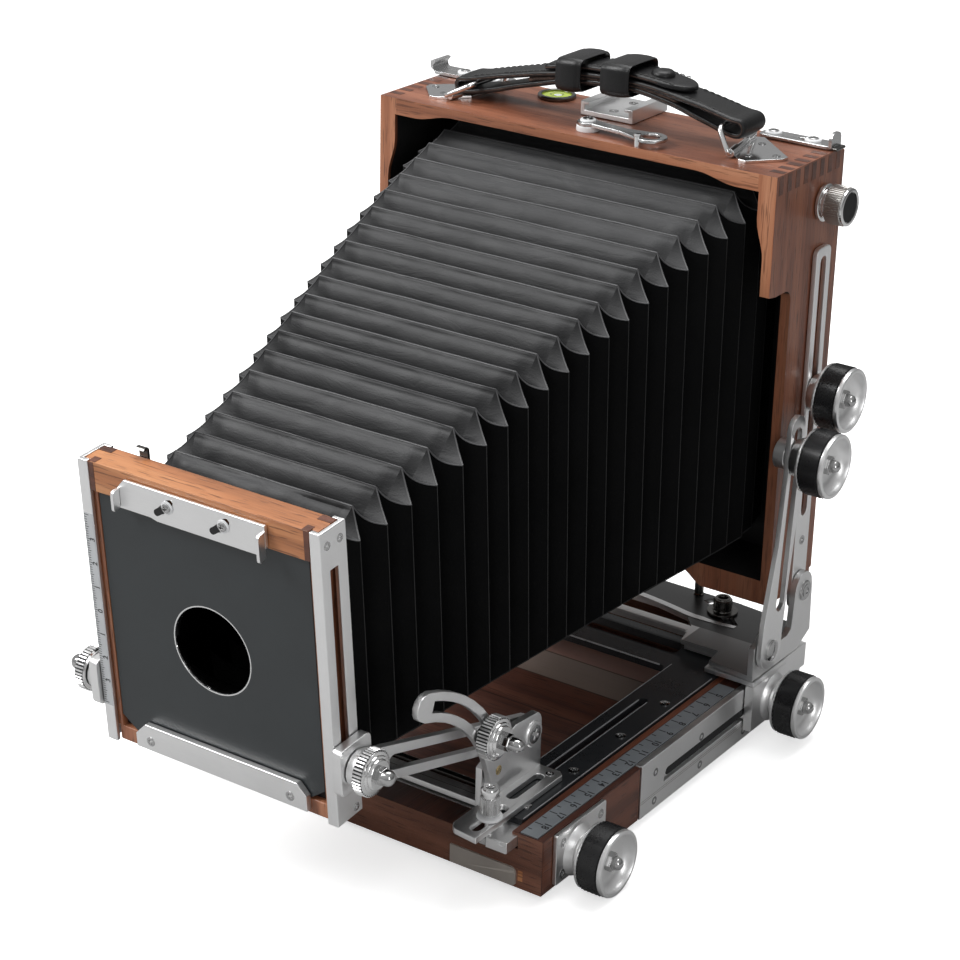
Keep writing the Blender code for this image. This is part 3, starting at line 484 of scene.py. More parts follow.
# name, grain axis, tones, seed
WOODS = (
    ("wood_rail", "x", ((0.19, 0.068, 0.026), (0.42, 0.165, 0.066), (0.57, 0.26, 0.115)), 3.0),
    ("wood_frame", "z", ((0.13, 0.045, 0.02), (0.32, 0.12, 0.06), (0.46, 0.21, 0.11)), 5.0),
    # holds the plain name, so that bed_wood's material is called wood_bed.001
    ("wood_bed", "y", DARK_WOOD, 9.0),
    ("wood_back", "z", WALNUT, 12.0),
    ("wood_red", "y", ((0.045, 0.013, 0.006), (0.105, 0.031, 0.015), (0.17, 0.056, 0.029)), 7.0),
    ("wood_end_grain", "x",
     ((0.045, 0.015, 0.008), (0.100, 0.033, 0.018), (0.16, 0.058, 0.033)), 21.0),
    ("wood_end_grain_side", "z",
     ((0.03, 0.010, 0.006), (0.075, 0.025, 0.014), (0.12, 0.044, 0.026)), 22.0),
)
# name, brightness, roughness, brushing axis, brushing strength, tint
METALS = (
    ("aluminium_satin", 0.86, 0.34, "y"),
    ("aluminium_plate", 0.86, 0.36, "x"),
    ("aluminium_upright", 0.88, 0.36, "z"),
    ("aluminium_dull", 0.46, 0.34, "x", 1.0, (1.0, 0.97, 0.93)),
    ("steel_brushed", 0.62, 0.26, "x", 0.8),
    ("polished_metal", 0.80, 0.12, "x", 0.35),
    ("screw_steel", 0.50, 0.17, "z", 0.4),
    ("nut_chrome", 0.50, 0.13, "x", 0.3),
    ("screw_dark", 0.30, 0.28, "z", 0.5),
    ("brass_machined", 0.62, 0.25, "x", 0.6, (1.0, 0.78, 0.40)),
    ("blackened_steel", 0.16, 0.24, "x", 0.6, (1, 0.97, 0.92)),
)
# name, colour, roughness, texture scale, texture depth, tone variation, metallic, coat
COATINGS = (
    ("polished_edge", (0.52, 0.53, 0.55), 0.30, 2600, 0.00001, 0.06, 0.4),
    ("black_satin_plate", (0.026, 0.028, 0.031), 0.30, 2600, 0.00001, 0.08, 0.35, 0.12),
    ("lens_board_slate", (0.022, 0.0262, 0.0285), 0.42, 3200, 0.00003, 0.12),
    ("matt_black", (0.006, 0.006, 0.007), 0.7, 1500, 0.00005, 0.3),
    ("knob_rubber", (0.014, 0.014, 0.015), 0.28, 1600, 0.00002, 0.15),
    ("white_nylon", (0.78, 0.79, 0.80), 0.35, 900, 0.00003, 0.06),
    ("ruler_anodised", (0.275, 0.298, 0.320), 0.36, 2600, 0.00002, 0.10, 0.4),
    ("scale_anodised", (0.56, 0.575, 0.59), 0.36, 2600, 0.00002, 0.08, 0.5),
    ("engraved_mark", (0.012, 0.012, 0.014), 0.5, 2600, 0.00002, 0.2),
    ("ground_glass", (0.62, 0.66, 0.66), 0.55, 5200, 0.00003, 0.05),
    ("blank_name_plate", (0.40, 0.36, 0.325), 0.36, 2600, 0.00001, 0.08, 0.35),
    # the same bellows lips in two colours: pale on the top ridges and upper corners as painted
    # highlight, near black on the side ridges and along the bottom as painted shade
    ("bellows_ridge", (0.058, 0.0585, 0.061), 0.48, 2600, 0.00004, 0.30),
    ("bellows_side_ridge", (0.0075, 0.0076, 0.008), 0.5, 2600, 0.00004, 0.35),
    ("waxed_thread", (0.012, 0.0118, 0.0118), 0.5, 3000, 0.00005, 0.3),
)
for make, rows in ((wood, WOODS), (metal, METALS), (coated, COATINGS)):
    for row in rows:
        make(*row)


# ---------------------------------------------------------------- special materials
def bed_wood():
    """Dark timber with a paler front face."""
    made = Material("wood_bed")
    colour, roughness, height = wood_graph(made, "y", DARK_WOOD, seed=9.0)
    edge = wood_graph(made, "x", BED_EDGE, seed=11.0)[0]
    made.surface(made.mix(made.facing_front(made.normal()), colour, edge), roughness,
                 made.bump(height, distance=0.00009, strength=0.55),
                 Coat_Weight=0.08, Coat_Roughness=0.28)


def yoke_metal():
    """Satin plate whose upper face carries painted shade, darker towards the rear and the sides.
    """
    made = Material("yoke_metal")
    place = made.parts(made.coords)
    brushing = made.noise((150, 3800, 3800), detail=2)
    mottle = made.noise(55, detail=3)
    # painted shade: the upper face is darkened behind y = 0.075 m and beyond 0.06 m to either side
    top = made.times(made.fit(made.normal()[2], 0.85, 0.95),
                     made.fit(place[2], 0.0312, 0.0318, 1.0, 0.0))
    rear = made.times(top, made.fit(place[1], 0.0748, 0.0752))
    shaded_sides = made.times(top, made.fit(made.math("ABSOLUTE", place[0]), 0.0595, 0.0600))
    value = made.vary(brushing, 0.05, made.vary(mottle, 0.08, 0.78))
    dark = made.math("MAXIMUM", made.times(rear, 0.86), made.times(shaded_sides, 0.66))
    value = made.times(value, made.math("SUBTRACT", 1.0, dark))
    colour = made.node("CombineColor", {0: value, 1: value, 2: value})
    made.surface(colour.outputs[0], made.vary(mottle, 0.12, 0.33),
                 made.bump(brushing, distance=0.000006, strength=0.5), Metallic=1.0)


def box_wood():
    """Walnut: upright grain on the sides, cross grain on top, paler front, black interior."""
    made = Material("wood_rear_box")
    side, side_rough, side_height = wood_graph(made, "z", WALNUT, seed=1.0)
    top, _, top_height = wood_graph(made, "x", BOX_TOP_WOOD, seed=15.0)
    post = wood_graph(made, "z", FRONT_EDGE, seed=30.0)[0]
    rail = wood_graph(made, "x", FRONT_EDGE, seed=33.0)[0]
    normal, place = made.normal(), made.parts(made.coords)
    is_top = made.fit(made.math("ABSOLUTE", normal[2]), 0.5, 0.6)
    is_front = made.times(made.facing_front(normal), made.fit(place[1], 0.053, 0.056, 1.0, 0.35))
    # inside faces look towards the middle of the box, 0.148 m up
    inward = made.math("ADD", made.times(normal[0], made.times(place[0], -1.0)),
                       made.times(normal[2], made.math("SUBTRACT", 0.148, place[2])))
    is_inner = made.times(made.fit(inward, 0.02, 0.03), made.fit(place[1], 0.0512, 0.0516))
    is_rail = made.times(made.fit(place[2], 0.2285, 0.2295),
                         made.fit(made.math("ABSOLUTE", place[0]), 0.0868, 0.0872, 1.0, 0.0))
    colour = made.mix(is_top, side, top)
    colour = made.mix(is_front, colour, made.mix(is_rail, post, rail))
    colour = made.mix(is_inner, colour, (0.004, 0.004, 0.0045))
    height = made.math("ADD", made.times(side_height, made.math("SUBTRACT", 1.0, is_top)),
                       made.times(top_height, is_top))
    made.surface(colour, made.math("MULTIPLY_ADD", is_inner, 0.35, side_rough),
                 made.bump(height, distance=0.00009, strength=0.55),
                 Coat_Weight=0.06, Coat_Roughness=0.3)


def bed_floor_wood():
    """Floor boards in three tones with dark seams; the grey and the pink band on the middle boards
    are painted reflection.
    """
    made = Material("wood_bed_floor")
    colour, roughness, height = wood_graph(made, "x", FLOOR_WOOD, seed=4.0)
    y = made.parts(made.coords)[1]
    fade = 0.0004
    seams = (0.0075, 0.034, 0.055, 0.074)

    def band(start, end):
        return made.times(made.fit(y, start - fade, start), made.fit(y, end, end + fade, 1.0, 0.0))

    # painted reflection: a grey band and then a pink band across the middle boards
    colour = made.mix(made.times(band(*seams[1:3]), 0.85), colour, (0.42, 0.33, 0.28))
    colour = made.mix(made.times(band(*seams[2:]), 0.75), colour, (0.60, 0.32, 0.25))
    for seam in seams:
        colour = made.mix(made.times(band(seam - 0.0002, seam + 0.0002), 0.8), colour,
                          (0.01, 0.004, 0.003))
    roughness = made.math("SUBTRACT", roughness, made.times(band(seams[1], seams[3]), 0.06))
    made.surface(colour, roughness, made.bump(height, distance=0.00006, strength=0.4),
                 Coat_Weight=0.25, Coat_Roughness=0.22)


def bellows_cloth():
    """Fine leatherette with soft creases; painted light makes it paler where it looks up or
    forward, and painted shade makes it near black where it looks sideways.
    """
    made = Material("bellows_cloth")
    cells = made.cells(1500, "F1")
    fine = made.noise(3000, detail=2, roughness=0.6)
    crease = made.noise((45, 150, 150), detail=4, roughness=0.6, distortion=1.2)
    drift = made.noise(28, detail=3)
    normal = made.normal()
    # painted light and shade: the colour and the specular level follow the face's direction, pale
    # and glossier facing up or forward, near black facing sideways
    front = made.math("MAXIMUM", made.times(normal[1], -1.0), 0.0)
    face = made.math("MULTIPLY_ADD", front, 0.15, made.math("MAXIMUM", normal[2], 0.0))
    face = made.math("MULTIPLY_ADD", made.math("ABSOLUTE", normal[0]), -0.42, face)
    pale = made.fit(face, 0.14, 0.92)
    colour = made.mix(pale, (0.0022, 0.0023, 0.0025), (0.043, 0.0435, 0.0455))
    colour = made.mix(made.times(made.fit(drift, 0.3, 0.7), 0.30), colour,
                      (0.008, 0.008, 0.0085))
    # lighter specks of painted sheen, only where the painted light falls
    lit_specks = made.times(made.times(made.fit(fine, 0.55, 0.75), pale), 0.25)
    colour = made.mix(lit_specks, colour, (0.05, 0.05, 0.051))
    creased = made.bump(crease, distance=0.0008, strength=0.35)
    made.surface(colour, made.math("MULTIPLY_ADD", crease, 0.22, 0.40),
                 made.bump(cells, distance=0.00012, strength=0.35, below=creased),
                 Specular_IOR_Level=made.math("MULTIPLY_ADD", pale, 0.30, 0.05))


def leather(name, tone, roughness, raw_edge=False):
    made = Material(name)
    cells = made.cells(620, "DISTANCE_TO_EDGE")
    fine = made.noise(2400, detail=3, roughness=0.65)
    drift = made.noise(90, detail=3)
    colour = made.mix(made.fit(drift, 0.3, 0.7), tuple(part * 0.6 for part in tone),
                      tuple(part * 1.5 for part in tone))
    if raw_edge:
        layers = made.noise((300, 1800, 1800), detail=3, roughness=0.7)
        colour = made.mix(made.fit(layers, 0.45, 0.6), colour, (0.085, 0.05, 0.038))
    grain = made.bump(made.fit(cells, 0.0, 0.12), distance=0.00009, strength=0.35)
    made.surface(colour, made.math("MULTIPLY_ADD", fine, 0.22, roughness - 0.11),
                 made.bump(fine, distance=0.0004 if raw_edge else 0.00006, strength=0.5,
                           below=grain),
                 Coat_Weight=0.0 if raw_edge else 0.08, Coat_Roughness=0.3,
                 Specular_IOR_Level=0.36)


def level_liquid():
    made = Material("level_liquid")
    drift = made.noise(120, detail=3)
    made.surface(made.mix(drift, (0.42, 0.60, 0.02), (0.62, 0.78, 0.06)), 0.08,
                 made.bump(drift, distance=0.00004, strength=0.3),
                 Coat_Weight=0.8, Coat_Roughness=0.04, Specular_IOR_Level=0.7)


bed_wood()
yoke_metal()
box_wood()
bed_floor_wood()
bellows_cloth()
leather("strap_leather", tone=(0.0055, 0.0055, 0.006), roughness=0.38)
leather("strap_raw_edge", tone=(0.030, 0.018, 0.014), roughness=0.85, raw_edge=True)
level_liquid()

# ---------------------------------------------------------------- finishes on the CAD pieces
# piece: material, bevel width; any other piece is satin aluminium with the plain bevel
PLAIN_BEVEL = 0.3
CAD_FINISH = {
    "bed_frame": ("wood_bed", 0.35),
    "bed_floor": ("wood_bed_floor", PLAIN_BEVEL),
    "slide_frame": ("black_satin_plate", PLAIN_BEVEL),
    "focus_rack": ("steel_brushed", 0.08),
    "focus_pinion": ("brass_machined", 0.06),
    "front_top_rail": ("wood_rail", 0.9),
    "front_lower_frame": ("wood_frame", 0.4),
    "lens_board": ("lens_board_slate", 0.25),
    "rear_box": ("wood_rear_box", 0.7),
    "back_frame": ("wood_back", 0.7),
    "ground_glass": ("ground_glass", 0.2),
    "accessory_shoe": ("aluminium_plate", PLAIN_BEVEL),
    "top_hook_lever": ("steel_brushed", PLAIN_BEVEL),
    "back_latch": ("steel_brushed", PLAIN_BEVEL),
    "board_lock": ("aluminium_plate", PLAIN_BEVEL),
    "bottom_retainer": ("aluminium_plate", PLAIN_BEVEL),
    "carriage_crossbar": ("aluminium_plate", PLAIN_BEVEL),
    "swing_yoke": ("yoke_metal", 0.35),
    "rear_slider": ("aluminium_satin", 0.45),
}
for hand, _ in SIDES:
    CAD_FINISH["front_upright_" + hand] = ("aluminium_upright", 0.35)
    CAD_FINISH["rear_upright_" + hand] = ("aluminium_upright", PLAIN_BEVEL)
    CAD_FINISH["rear_strut_" + hand] = ("aluminium_upright", PLAIN_BEVEL)
    CAD_FINISH["guide_rail_" + hand] = ("aluminium_satin", 0.4)

for name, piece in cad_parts.items():
    material, width = CAD_FINISH.get(name, ("aluminium_satin", PLAIN_BEVEL))
    piece.data.materials.clear()
    piece.data.materials.append(materials[material])
    piece.modifiers.new("weld", "WELD").merge_threshold = 0.00002
    add_bevel(piece, width, angle=38, harden=False)
    piece.modifiers.new("normals", "WEIGHTED_NORMAL").weight = 60


# ---------------------------------------------------------------- shared small parts
def screw_set(name, body, heads, axis, radius, height, material="screw_steel", slot="steel",
              kind="cross", to_world=world_point):
    """Several screws as one object; each head is (centre, turn)."""
    shape = Shape(to_world)
    for centre, turn in heads:
        shape.screw(centre, axis, radius, height, turn, kind)
    shape.build(name, material, body, slot)


def washer_screws(screws_name, washers_name, body, centres, radius=2.1, turn=0.4, washer=3.4,
                  spacer=None):
    """Upright screws on nylon washers; a spacer is (centre, profile)."""
    screws, washers = Shape(), Shape()
    for x, y, z in centres:
        screws.screw((x, y, z + 0.7), UP, radius, 0.8, turn)
        washers.lathe((x, y, z), UP, [(1.2, 0.0), (washer, 0.0), (washer + 0.1, 0.3),
                                      (washer - 0.1, 0.7), (1.2, 0.75)], 32, closed=True)
    if spacer:
        washers.lathe(spacer[0], UP, spacer[1], 36)
    screws.build(screws_name, "screw_steel", body, "chrome")
    washers.build(washers_name, "white_nylon", body)


def engraved_number(name, value, size, swell, matrix, body):
    """A numeral as a thin mesh; size and swell are metres."""
    curve = bpy.data.curves.new("n", "FONT")
    curve.body = str(value)
    curve.size = size
    curve.offset = swell
    curve.align_x = "CENTER"
    curve.align_y = "CENTER"
    curve.extrude = 0.00003
    curve.resolution_u = 3
    text = bpy.data.objects.new("t", curve)
    bpy.context.scene.collection.objects.link(text)
    bpy.context.view_layer.update()
    evaluated = text.evaluated_get(bpy.context.evaluated_depsgraph_get())
    mesh = bpy.data.meshes.new_from_object(evaluated)
    bpy.data.objects.remove(text, do_unlink=True)
    mesh.transform(matrix)
    piece = bpy.data.objects.new(name, mesh)
    bpy.context.scene.collection.objects.link(piece)
    mesh.materials.clear()
    mesh.materials.append(materials["engraved_mark"])
    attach(piece, body)


def end_nuts(name, body, centre, axis, hexagon, acorn, bevel, to_world=world_point):
    """Hexagonal nut and domed acorn nut, each given as (start, radius, length)."""
    start, radius, length = hexagon
    end = start + length
    Shape(to_world).lathe(centre, axis, [(0, start), (radius, start), (radius, end - 0.4),
                                         (radius * 0.88, end), (0, end)], 6) \
        .build(name + "_hex", "nut_chrome", body, "chrome", bevel=bevel)
    start, radius, length = acorn
    dome = [(radius * math.cos(rise), start + length * 0.35 + length * 0.65 * math.sin(rise))
            for rise in (0.4, 0.8, 1.15, 1.4)]
    profile = [(0, start), (radius, start), (radius, start + length * 0.35), *dome,
               (0, start + length)]
    Shape(to_world).lathe(centre, axis, profile, 28) \
        .build(name + "_acorn", "nut_chrome", body, "chrome")


# ---------------------------------------------------------------- big knobs
# radius, distance outward from the knob's face
KNOB_PROFILE = [
    (0, -4.9), (6.4, -4.9), (8.2, -4.65), (9.6, -3.9), (10.7, -2.6), (11.35, -1.2),
    (11.7, -0.25), (11.95, 0.05), (12.9, 0.05), (13.3, -0.1), (13.5, -0.5), (13.5, -1.7),
    (13.1, -2.0), (11.8, -2.05), (11.8, -10.95), (13.1, -11.0), (13.35, -11.25),
    (13.35, -11.85), (13.0, -12.15), (9.4, -12.3), (8.9, -12.7), (8.5, -14.2)]


def big_knob(name, body, replaced, centre, hub, face, side, shank, shank_end, collar=None):
    """Knob between x = hub and x = face; a collar is (outer x, inner x, radius)."""
    axis, centre = (side, 0, 0), (0, *centre)
    profile = shifted(KNOB_PROFILE, face) + [(8.1, hub + 0.8), (7.6, hub), (shank, hub)]
    if collar:
        outer, inner, radius = collar
        profile += [(shank, outer), (radius - 0.3, outer), (radius, outer - 0.3),
                    (radius, inner + 0.3), (radius - 0.3, inner), (0, inner)]
    else:
        profile += [(shank, shank_end), (0, shank_end)]
    core = Shape().lathe(centre, axis, profile, 96) \
        .build(name + "_turned_core", "aluminium_satin", body, "aluminium")
    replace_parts(core, *replaced)
    Shape().diamond_knurl(centre, axis, 13.85, face - 10.9, face - 2.1, teeth=42, depth=0.85,
                          inner=11.7, rows=9) \
        .build(name + "_knurled_ring", "knob_rubber", body, "rubber", angle=18)
    end_nuts(name, body, centre, axis, hexagon=(face - 4.95, 3.9, 3.0),
             acorn=(face - 2.0, 2.65, 3.6), bevel=0.2)


# place, y and z, hub x, face x, shank radius, shank end of the right and the left knob
BED_KNOBS = (("front", FRONT_SHAFT, 98.9, 117.0, 2.9, (-79.7, 80.0)),
             ("rear", REAR_SHAFT, 101.7, 119.1, 2.4, (101.65, 101.65)))
for spot, centre, hub, face, shank, ends in BED_KNOBS:
    for (hand, side), role, end in zip(SIDES, ("focus", "lock"), ends):
        name = f"{spot}_{role}_knob"
        big_knob(name, name, [f"{spot}_knob_{hand}_core", f"{spot}_knob_{hand}_grip"],
                 centre, hub, face, side, shank, end)

# name, y and z, hub x, face x, shank radius, shank end, collar
STANDARD_KNOBS = (("upper_knob_", (192.7, 145), 98.0, 115.4, 2.0, 95.5, None),
                  ("lower_knob_", (170.5, 125), 103.7, 121.6, 1.8, 99.0, (100.6, 95.6, 6.4)))
for hand, side in SIDES:
    for name, centre, hub, face, shank, end, collar in STANDARD_KNOBS:
        big_knob(name + hand, name + hand + "_body", [name + hand], centre, hub, face, side,
                 shank, end, collar)

# ---------------------------------------------------------------- knurled wheels
# share of the wheel's radius, distance outward from its outer rim
WHEEL_PROFILE = ((0, 1.9), (0.60, 1.9), (0.64, 1.6), (0.66, 0.9), (0.74, 0.85), (0.77, 0.55),
                 (0.78, 0.1), (0.90, -0.05), (0.93, -0.4))


def wheel(name, centre, start, side, radius, width, shank_end, hexagon=2.4, acorn=(3.0, 4.0),
          to_world=world_point):
    """Wheel starting at x = start; hexagon is a height, acorn a radius and a length."""
    body, axis, centre = name + "_body", (side, 0, 0), (0, *centre)
    end = start + width
    profile = [(radius * share, end + out) for share, out in WHEEL_PROFILE]
    profile += [(radius * 0.93, start + 0.6), (radius * 0.88, start + 0.1), (2.0, start),
                (1.9, shank_end), (0, shank_end)]
    disc = Shape(to_world).lathe(centre, axis, profile, 64) \
        .build(name + "_disc", "polished_metal", body, "chrome")
    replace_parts(disc, name)
    Shape(to_world).straight_knurl(centre, axis, radius, start + 0.5, end - 0.2, teeth=40,
                                   depth=0.6, inner=radius * 0.86) \
        .build(name + "_knurl", "aluminium_satin", body, "chrome", angle=20)
    # black ring between the knurl teeth: painted shade in the tooth gaps
    knurl_gap_shade = [(radius * 0.88, start + 0.62), (radius - 0.42, start + 0.62),
            (radius - 0.42, end - 0.32), (radius * 0.88, end - 0.32)]
    Shape(to_world).lathe(centre, axis, knurl_gap_shade, 64, closed=True) \
        .build(name + "_groove_fill", "matt_black", body, "chrome")
    end_nuts(name, body, centre, axis, hexagon=(end + 1.8, 3.5, hexagon),
             acorn=(end + 1.7 + hexagon, *acorn), bevel=0.18, to_world=to_world)


for hand, side in SIDES:
    wheel("quadrant_knob_" + hand, on_circle(*QUADRANT, 34), start=71.0, side=side, radius=8.8,
          width=5.6, shank_end=67.4, hexagon=3.6, acorn=(2.7, 5.4))
    wheel("clamp_wheel_" + hand, (7.0, 24.0), start=63.0, side=side, radius=9.0, width=4.8,
          shank_end=53.0, to_world=front_point)

# ---------------------------------------------------------------- small knobs
THUMBSCREW_STEM = [(0, 23.2), (1.9, 23.2), (1.9, 29.4), (3.1, 29.5), (3.1, 38.6), (3.55, 38.9),
                   (3.6, 40.6), (3.2, 41.3), (1.9, 41.4), (1.6, 41.0), (1.6, 38.8), (0, 38.6)]
THUMBSCREW_WASHER = [(2.1, 28.35), (5.0, 28.35), (5.1, 28.6), (5.1, 29.1), (4.8, 29.35),
                     (2.1, 29.4)]
for hand, side in SIDES:
    body, centre = "thumbscrew_" + hand, (74.3 * side, -3, 0)
    knurl = Shape().straight_knurl(centre, UP, 3.75, 30.3, 37.6, teeth=26, depth=0.35,
                                   inner=2.9) \
        .build(body + "_knurl", "steel_brushed", body, "chrome", angle=20)
    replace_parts(knurl, "carriage_thumbscrew_" + hand)
    Shape().lathe(centre, UP, THUMBSCREW_STEM, 40) \
        .build(body + "_stem", "polished_metal", body, "chrome")
    Shape().lathe(centre, UP, THUMBSCREW_WASHER, 36, closed=True) \
        .build(body + "_washer", "white_nylon", body)

SPRING_KNOB = [(0, 95.6), (7.4, 95.6), (7.7, 95.9), (7.7, 96.9), (7.3, 97.3), (6.2, 97.5),
               (6.1, 98.6), (7.2, 98.95), (7.5, 99.3), (7.5, 106.3), (7.8, 106.7),
               (7.7, 107.3), (7.2, 107.6), (6.5, 107.65), (6.2, 107.4), (6.1, 106.9),
               (0, 106.8)]
centre, axis, body = (0, 192.5, 225.8), (1, 0, 0), "spring_knob_body"
knob = Shape().lathe(centre, axis, SPRING_KNOB, 72) \
    .build("spring_knob_body_turned", "polished_metal", body, "chrome")
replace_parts(knob, "spring_knob")
Shape().straight_knurl(centre, axis, 8.0, 99.2, 106.4, teeth=52, depth=0.4, inner=7.3) \
    .build("spring_knob_knurl", "aluminium_dull", body, "chrome", angle=20)
Shape().lathe(centre, axis, [(0, 107.2), (5.9, 107.15), (6.05, 106.9)]) \
    .build("spring_knob_cap", "matt_black", body, "chrome")

SWING_LOCK = [(0, -2.2), (1.9, -2.2), (1.9, 0), (6.6, 0), (6.8, 0.3), (6.7, 0.9), (4.5, 1.05),
              (4.3, 1.5), (3.6, 1.6), (3.6, 6.4), (3.3, 6.9), (2.4, 7.0), (2.1, 6.6),
              (2.0, 4.6), (0, 4.4)]
centre = (60, 197, 31.3)
knob = Shape().lathe(centre, UP, SWING_LOCK, 44) \
    .build("swing_lock_core", "blackened_steel", "swing_lock", "chrome")
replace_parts(knob, "swing_lock_knob")
Shape().straight_knurl(centre, UP, 4.15, 1.8, 6.2, teeth=30, depth=0.35, inner=3.4) \
    .build("swing_lock_knurl", "blackened_steel", "swing_lock", "chrome", angle=20)

# ---------------------------------------------------------------- bed
RULER_START, RULER_PITCH, RULER_COUNT, RULER_FIRST = 10.37, 10, 14, 18
RULER_TOP = 24.0
MARK_Z = (23.98, 24.06)
# x and z of the end of a runner
RUNNER_END = [(76.0, 18.3), (85.0, 18.3), (85.0, 21.1), (82.1, 21.1), (82.1, 22.5), (76.0, 22.5)]
# radius, x of the raised collars behind the front knobs
FRONT_BOSS = [(10.6, 98.55), (10.3, 99.2), (9.4, 100.6), (8.8, 101.6), (8.5, 101.7),
              (8.0, 101.6), (7.9, 98.55)]
for hand, side in SIDES:
    outward = (side, 0, 0)
    Shape().box(span(side, 85.7, 93.4), (1.1, 150.0), (23.15, RULER_TOP)) \
        .build("ruler_" + hand, "ruler_anodised", "bed", "aluminium", bevel=0.15)
    marks = Shape()
    long_x, short_x = span(side, 86.2, 89.6), span(side, 86.2, 88.1)
    stations = [RULER_START + RULER_PITCH * i for i in range(RULER_COUNT)]
    for y in stations:
        marks.box(long_x, (y - 0.24, y + 0.24), MARK_Z)
        if y != stations[-1]:
            marks.box(short_x, (y + 4.78, y + 5.22), MARK_Z)
    marks.box(short_x, (5.15, 5.59), MARK_Z)
    marks.build("ruler_marks_" + hand, "engraved_mark", "bed", "aluminium")
    for i, y in enumerate(stations):
        value = RULER_FIRST - i
        matrix = (Matrix.Translation(world_point(91.3 * side, y, RULER_TOP + 0.04))
                  @ Matrix.Rotation(math.radians(-90 * side), 4, "Z"))
        engraved_number(f"ruler_number_{hand}_{value:02d}", value, size=0.0044, swell=0.00007,
                        matrix=matrix, body="bed")
    Shape().box(span(side, 82.78, 85.4), (0.2, 205.8), (23.6, 23.85)) \
        .build("bed_lip_strip_" + hand, "wood_red", "bed", "walnut_dark", bevel=0.08)
    Shape().box(span(side, 96.35, 96.62), (0.5, 69.5), (0.5, 23.2)) \
        .build("bed_side_face_" + hand, "wood_red", "bed", "walnut_dark", bevel=0.1)
    screw_set("rail_screws_" + hand, "bed",
              [((97.1 * side, y, z), 0.3 + y) for y in (81, 117, 153) for z in (17.0, 4.0)],
              outward, 1.75, 0.12, material="screw_dark", kind="hex")
    # darker strips along the grooves: painted shade in the grooves
    grooves = Shape()
    for z in (6.6, 7.5):
        grooves.box(span(side, 97.06, 97.13), (70.3, 205.7), (z, z + 0.22))
    grooves.build("rail_grooves_" + hand, "aluminium_dull", "bed", "aluminium")
    # black sheet over the rail's slot: painted shade standing for the inside of the slot
    slot_outline = arc((90.6, 13.4), 1.7, 90, 270, 6) + [(158.0, 11.7), (158.0, 15.1)]
    Shape().plate("x", [slot_outline], 96.9 * side, 97.16 * side) \
        .build("rail_slot_" + hand, "matt_black", "bed", "aluminium")
    edges = Shape()
    for near, far, length, height in (
            (61.9, 62.25, (12.5, 151.0), (24.75, 25.26)),
            (67.3, 67.62, (46.5, 115.5), (24.75, 25.27)),
            (71.38, 71.72, (46.5, 115.5), (22.0, 25.27)),
            (82.15, 82.4, (8.0, 150.0), (24.85, 25.24))):
        edges.box(span(side, near, far), length, height)
    edges.build("slide_polished_edges_" + hand, "polished_edge", "focus_slide", "aluminium")
    Shape().box(span(side, 75.75, 85.25), (-7.45, 6.9), (18.08, 22.75)) \
        .build("runner_cover_" + hand, "aluminium_plate", "focus_slide", "aluminium", bevel=0.3)
    screw_set("bearing_screws_" + hand, "bed",
              [((98.6 * side, y, z), y) for z in (19.2, 5.6) for y in (11.2, 37.6)],
              outward, 1.9, 0.18)
    Shape().lathe((0, *FRONT_SHAFT), outward, FRONT_BOSS, closed=True) \
        .build("knob_boss_" + hand, "aluminium_satin", "bed", "aluminium")
    screw_set("slide_screws_" + hand, "focus_slide",
              [((78 * side, y, 25.22), y) for y in (16.4, 49.9, 84.6, 118.8)], UP, 2.2, 0.55)
    Shape().plate("y", [mirrored(RUNNER_END, side)], -7.75, -7.44) \
        .build("runner_end_" + hand, "aluminium_plate", "focus_slide", "aluminium", bevel=0.1)
Shape().box((-58, 58), (147.8, 148.12), (24.7, 25.27)) \
    .build("slide_crossbar_edge", "polished_edge", "focus_slide", "aluminium")
NAME_PLATE = [(55.0, 0.8), (84.2, 0.8), (85.2, 1.8), (85.2, 6.2),
              *arc((82.8, 6.2), 2.4, 0, 90, 5), (55.0, 8.6)]
Shape().plate("y", [NAME_PLATE], -0.9, 0.05) \
    .build("blank_name_plate", "blank_name_plate", "bed", "aluminium", bevel=0.15)
Shape().box((85.9, 88.0), (-0.14, 0.1), (3.4, 7.8)) \
    .build("front_inlay", "wood_rail", "bed", "walnut_light", bevel=0.05)

# ---------------------------------------------------------------- front carriage and arms
EAR_BOSS = [(0, 66.9), (5.3, 66.9), (5.4, 67.3), (5.0, 67.75), (4.2, 67.8), (0, 67.7)]
QUADRANT_PIN = [(0, 67.0), (1.5, 67.0), (1.5, 70.1), (2.2, 70.15), (2.2, 70.4), (1.9, 70.53),
                (0, 70.54)]
ARM_NUT = [(0, 58.6), (4.6, 58.6), (4.7, 59.0), (4.6, 59.4), (0, 59.5)]
CARRIAGE = "front_carriage"
for hand, side in SIDES:
    outward = (side, 0, 0)
    Shape().lathe((0, *EAR_PIVOT), outward, EAR_BOSS, 40) \
        .build("ear_boss_" + hand, "aluminium_upright", CARRIAGE, "aluminium")
    Shape().screw((67.75 * side, *EAR_PIVOT), outward, 3.9, 0.3, turn=0.5) \
        .build("ear_pivot_screw_" + hand, "screw_steel", CARRIAGE, "chrome")
    Shape().lathe((0, *on_circle(*QUADRANT, 16)), outward, QUADRANT_PIN, 24) \
        .build("quadrant_pin_" + hand, "brass_machined", "link_arms", "brass")
    Shape().lathe((0, *EAR_PIVOT), outward, ARM_NUT, 30) \
        .build("arm_pivot_nut_" + hand, "polished_metal", "link_arms", "chrome")
    Shape().screw((74.4 * side, 38.2, 28.0), UP, 1.7, 0.3, turn=0.2) \
        .build("flange_screw_" + hand, "screw_steel", CARRIAGE, "chrome")
